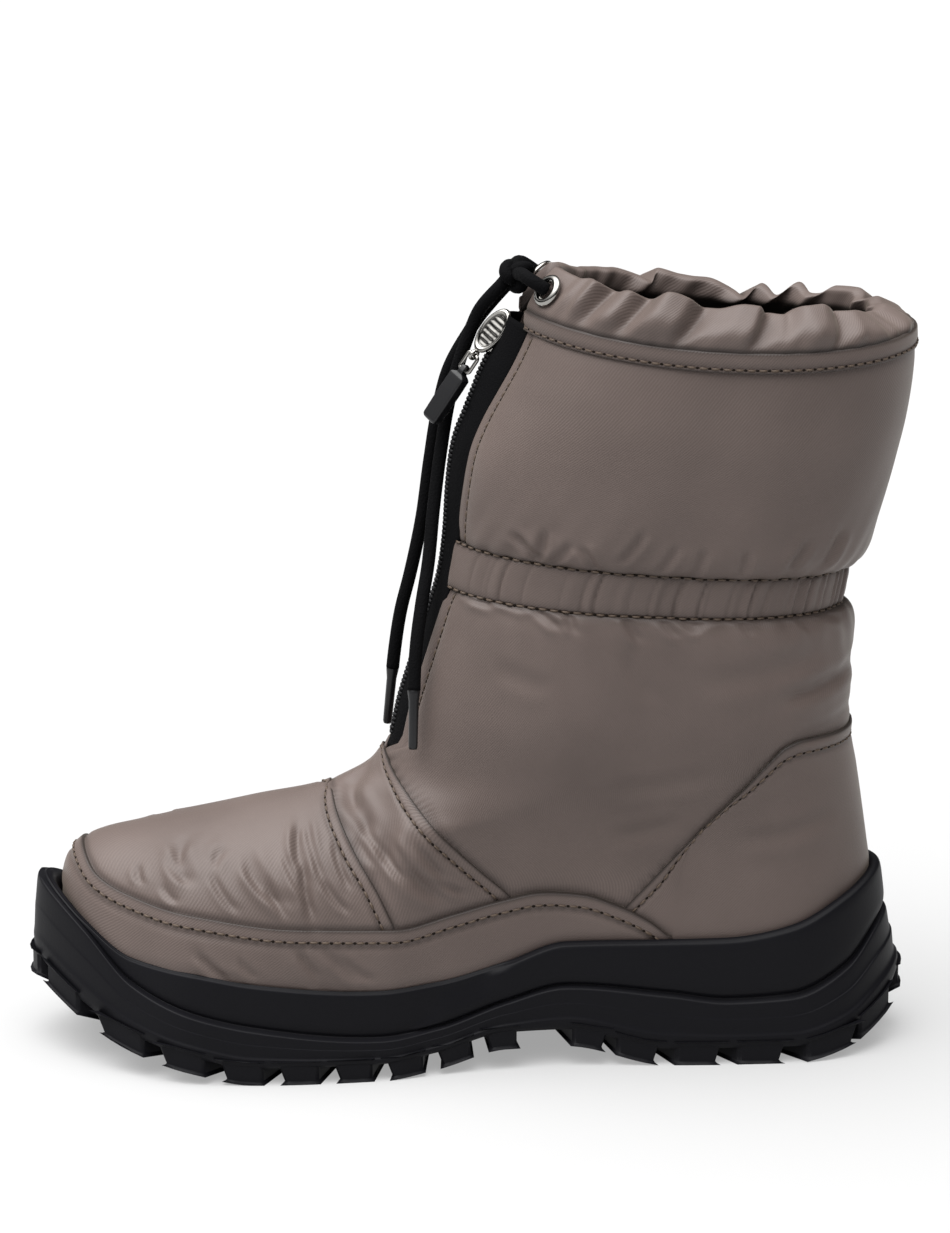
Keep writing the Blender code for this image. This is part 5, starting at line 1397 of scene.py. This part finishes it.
class BOOT_OT_collar(bpy.types.Operator):
    """Collar strip, gathered collar and its two eyelets"""

    bl_idname = "boot.collar"
    bl_label = "Collar"

    def execute(self, context):
        rows, columns = GRIDS["collar_binding"]
        gap = slit_turn(np.array([1.0]), SLIT_HALF)[0]
        turn = np.linspace(gap - math.pi, math.pi - gap, columns)
        seam, out = collar_frame(turn)
        rise = STRIP_LOW + STRIP_TALL * graded(rows, 0.6)[:, None]
        base, out = np.repeat(seam[None], rows, axis=0), np.repeat(out[None], rows, axis=0)
        base[..., 2] += rise
        v, side = spans(base, 0), from_ends(base, 0)
        face = 0.1 + 0.8 * dome(side / 0.8) - 0.45 * bell((v - STRIP_STITCH) / 0.8) - 0.06 * rise
        shade = (1 - 0.25 * bell((v - STRIP_STITCH) / 0.9)) * (1 - 0.75 * bell(side / 0.8))
        _, points = put_sheet("collar_binding", base, out, face, face - 0.9, "nylon", ["collar_strip"], shade)
        line = thread_line(points.transpose(1, 0, 2), out.transpose(1, 0, 2), STRIP_STITCH)
        put_stitches("collar_stitching", [line])

        section = np.column_stack([COLLAR_SECTION["out"], COLLAR_SECTION["up"]])[:, None, :]
        pleats = context.scene.boot_sizes.pleat_depth
        rings = [collar_point(turn, np.full_like(turn, far), np.full_like(turn, up), pleats)
                 for far, up in through(section, 7)[:, 0]]
        rings = np.array(rings).transpose(1, 0, 2)
        run = np.repeat(spans(rings[:, :1], 0), rings.shape[1], axis=1)
        uv = np.stack([run, spans(rings, 1)], -1).reshape(-1, 2)
        above = rings[..., 2] - seam[:, None, 2] - STRIP_LOW - STRIP_TALL
        shade = 1 - 0.8 * bell(np.maximum(above, 0) / 1.2)
        put("gathered_collar", *barrel(rings), "nylon", ["collar"],
            uv=np.concatenate([uv, uv[:1], uv[-1:]]), shade=np.concatenate([shade.ravel(), [1, 1]]))
        for name, hand in (("eyelet_outer", -1), ("eyelet_inner", 1)):
            rings = turned(*eyelet_place(hand), EYELET_SECTION["radius"], EYELET_SECTION["out"], 48)
            put(name + "_ring", *barrel(rings, True), "chrome", [name])
        return {"FINISHED"}


def tape_proud(z):
    """How far the middle of the zip tape stands out: most towards the top."""
    return 0.6 + 2.4 * smooth((z - 150) / 60) + 2.2 * smooth((z - 212) / 20)


def cap_frame():
    """Frame of the slider's oval cap, and the middle of the eye below it."""
    high = zip_frame(SLIDER_Z, CAP_LIFT, CAP_TILT, CAP_SWING)
    return high, in_frame(high, np.array([0, EYE_DOWN]), EYE_OUT)


class BOOT_OT_zip(bpy.types.Operator):
    """Zip: tape, two rows of teeth, slider and its oval cap"""

    bl_idname = "boot.zip"
    bl_label = "Zip"

    def execute(self, context):
        rows, columns = GRIDS["zip_tapes"]
        levels = level_at(np.linspace(THROAT_Z, COLLAR_SEAM, rows))
        share = np.linspace(-1, 1, columns)
        base, out = skin(math.pi + slit_turn(levels, SLIT_HALF + 1.5)[:, None] * share, levels[:, None])
        proud = tape_proud(base[..., 2]) * (1 - share**2) - TAPE_SINK
        put_sheet("zip_tapes", base, out, proud, proud - TAPE_THICK, "tape", ["zip_tape"])
        put("zip_chain", *self.chain(), "coil", ["zip_teeth"])

        low, (high, eye) = zip_frame(SLIDER_Z, TEETH_PROUD + 0.3), cap_frame()
        outline = both_sides(np.column_stack([SLIDER_OUTLINE["across"], SLIDER_OUTLINE["down"]]))
        rings = np.array([in_frame(low, outline * 0.94, 0.0), in_frame(low, outline, 0.4),
                          in_frame(high, outline, -0.6), in_frame(high, outline * 0.94, -0.2)])
        slider = put("slider_body", *barrel(rings), "chrome", ["zip_slider"])
        slider.data.set_sharp_from_angle(angle=SHARP)

        rings, shade = self.cap(high)
        cap, cap_faces = barrel(rings)
        middle, half, turn = (EYE_RADIUS + EYE_HOLE) / 2, (EYE_RADIUS - EYE_HOLE) / 2, around(12)
        washer = turned(eye, high[1][0], middle + half * np.cos(turn), EYE_THICK / 2 * np.sin(turn), 36)
        ring, ring_faces = barrel(washer, True)
        groups = outward(cap, cap_faces) + [faces + len(cap) for faces in outward(ring, ring_faces)]
        shade = np.concatenate([shade.ravel(), [1.0, FIELD_SHADE], np.ones(len(ring))])
        put("slider_oval", np.concatenate([cap, ring]), groups, "toned_chrome", ["slider_cap"], shade=shade)
        return {"FINISHED"}

    def chain(self):
        """Points and faces of two rows of teeth: blocks tapered outwards, spaced along the front profile."""
        z = np.linspace(TEETH_FOOT, TEETH_TOP, 400)
        run = np.concatenate([[0], np.cumsum(np.hypot(np.diff(z), np.diff(front_x(z))))])
        count = int(run[-1] // TEETH_PITCH)
        hand, shift = np.repeat([1.0, -1.0], count), np.repeat([0.25, 0.75], count)
        at = np.interp((np.tile(np.arange(count), 2) + shift) * TEETH_PITCH, run, z)
        across = np.array([0, 1.0, 0])
        down = unit(np.column_stack([front_x(at - 1) - front_x(at), 0 * at, 0 * at - 1]))
        out = np.cross(down, across)
        middle = np.column_stack([front_x(at), SHAFT_CENTRE + hand * TEETH_APART, at])
        middle = middle + out * (tape_proud(at) - TEETH_SINK)[:, None]
        square = ((-1, -1), (1, -1), (1, 1), (-1, 1))
        box = np.array([(a, d, 0) for a, d in square] + [(0.7 * a, 0.7 * d, 1) for a, d in square])
        a, d, o = (box * (TEETH_HALF, TEETH_PITCH * 0.36, TEETH_PROUD)).T[:, :, None]
        corners = middle[:, None] + a * across + d * down[:, None] + o * out[:, None]
        quads = np.array([(0, 3, 2, 1), (4, 5, 6, 7), (0, 1, 5, 4), (1, 2, 6, 5), (2, 3, 7, 6), (3, 0, 4, 7)])
        return corners, (quads + 8 * np.arange(2 * count)[:, None, None]).reshape(-1, 4)

    def cap(self, high):
        """Rings and shade of the oval cap: an outline drawn in along its section, cross ribs on its field."""
        knots = np.arange(len(CAP_SECTION["out"]))
        at = np.linspace(0, knots[-1], CAP_RINGS)
        share, far = (np.interp(at, knots, CAP_SECTION[column])[:, None] for column in ("share", "out"))
        on_top = (np.arange(CAP_RINGS) > CAP_CREST)[:, None]
        angle = around(72)
        oval = np.column_stack([CAP_WIDTH / 2 * np.sin(angle), -CAP_LENGTH / 2 * np.cos(angle)])
        flat = oval * np.maximum(share, 0.02)[..., None]
        ribs = RIB_HEIGHT * on_top * smooth((0.72 - share) / 0.1)
        ribs = ribs * np.cos(FULL_TURN * flat[..., 1] / RIB_PITCH)
        rings = in_frame(high, flat, (far + ribs)[..., None])
        return rings, np.where(on_top & (share < 0.76), FIELD_SHADE, 1.0) * np.ones(len(angle))


class BOOT_OT_pull(bpy.types.Operator):
    """Zip pull: wire link in the cap's eye and the moulded tab that hangs from it"""

    bl_idname = "boot.pull"
    bl_label = "Zip pull"

    def execute(self, context):
        high, eye = cap_frame()
        across = high[1][0]
        hang = zip_frame(SLIDER_Z)[1][1]
        hang = unit(hang - across * (hang @ across))
        out = np.cross(hang, across)
        corner = np.linspace(0, math.pi / 2, 8)
        bend = np.column_stack([np.sin(corner), 1 - np.cos(corner)]) * LINK_CORNER
        half = np.concatenate([[(0, 0)], bend + (LINK_HALF - LINK_CORNER, 0)])
        half = np.concatenate([half, half[::-1] * (1, -1) + (0, LINK_LENGTH)])
        path = eye + both_sides(half) @ np.array([across, hang])
        ahead = unit(np.roll(path, -1, axis=0) - np.roll(path, 1, axis=0))
        angle = around(14)
        section = np.cos(angle)[:, None] * np.cross(ahead, out)[:, None] + np.sin(angle)[:, None] * out
        put("link_wire", *barrel(path[:, None] + WIRE * section, True), "chrome", ["pull_link"], "zip_pull")

        angle = around(40)
        square = np.column_stack([np.cos(angle), np.sin(angle)])
        square = np.sign(square) * np.abs(square) ** TAB_SQUARE
        rings = np.array([eye + down * hang + (square * (wide, thick)) @ np.array([across, out])
                          for down, wide, thick in zip(*TAB_SECTIONS.values())])
        put("moulded_tab", *barrel(through(rings, 4)), "plastic", ["pull_tab"], "zip_pull")
        return {"FINISHED"}


class BOOT_PT_panel(bpy.types.Panel):
    """Sizes, colours and the steps of making the boot"""

    bl_idname = "BOOT_PT_panel"
    bl_label = "Padded winter boot"
    bl_space_type = "VIEW_3D"
    bl_region_type = "UI"
    bl_category = "Boot"

    def draw(self, context):
        for group in (context.scene.boot_sizes, context.scene.boot_colours):
            for key in group.__annotations__:
                self.layout.prop(group, key)
        for operator in STEPS:
            self.layout.operator(operator.bl_idname)


STEPS = (BOOT_OT_stage, BOOT_OT_drawcord, BOOT_OT_sole, BOOT_OT_shaft, BOOT_OT_panels, BOOT_OT_collar,
         BOOT_OT_zip, BOOT_OT_pull)
CLASSES = (BootSizes, BootColours, *STEPS, BOOT_PT_panel)


def register():
    for made in CLASSES:
        bpy.utils.register_class(made)
    bpy.types.Scene.boot_sizes = bpy.props.PointerProperty(type=BootSizes)
    bpy.types.Scene.boot_colours = bpy.props.PointerProperty(type=BootColours)


def unregister():
    del bpy.types.Scene.boot_colours
    del bpy.types.Scene.boot_sizes
    for made in reversed(CLASSES):
        bpy.utils.unregister_class(made)


def main():
    register()
    for operator in STEPS:
        group, name = operator.bl_idname.split(".")
        getattr(getattr(bpy.ops, group), name)()


if __name__ == "__main__":
    main()
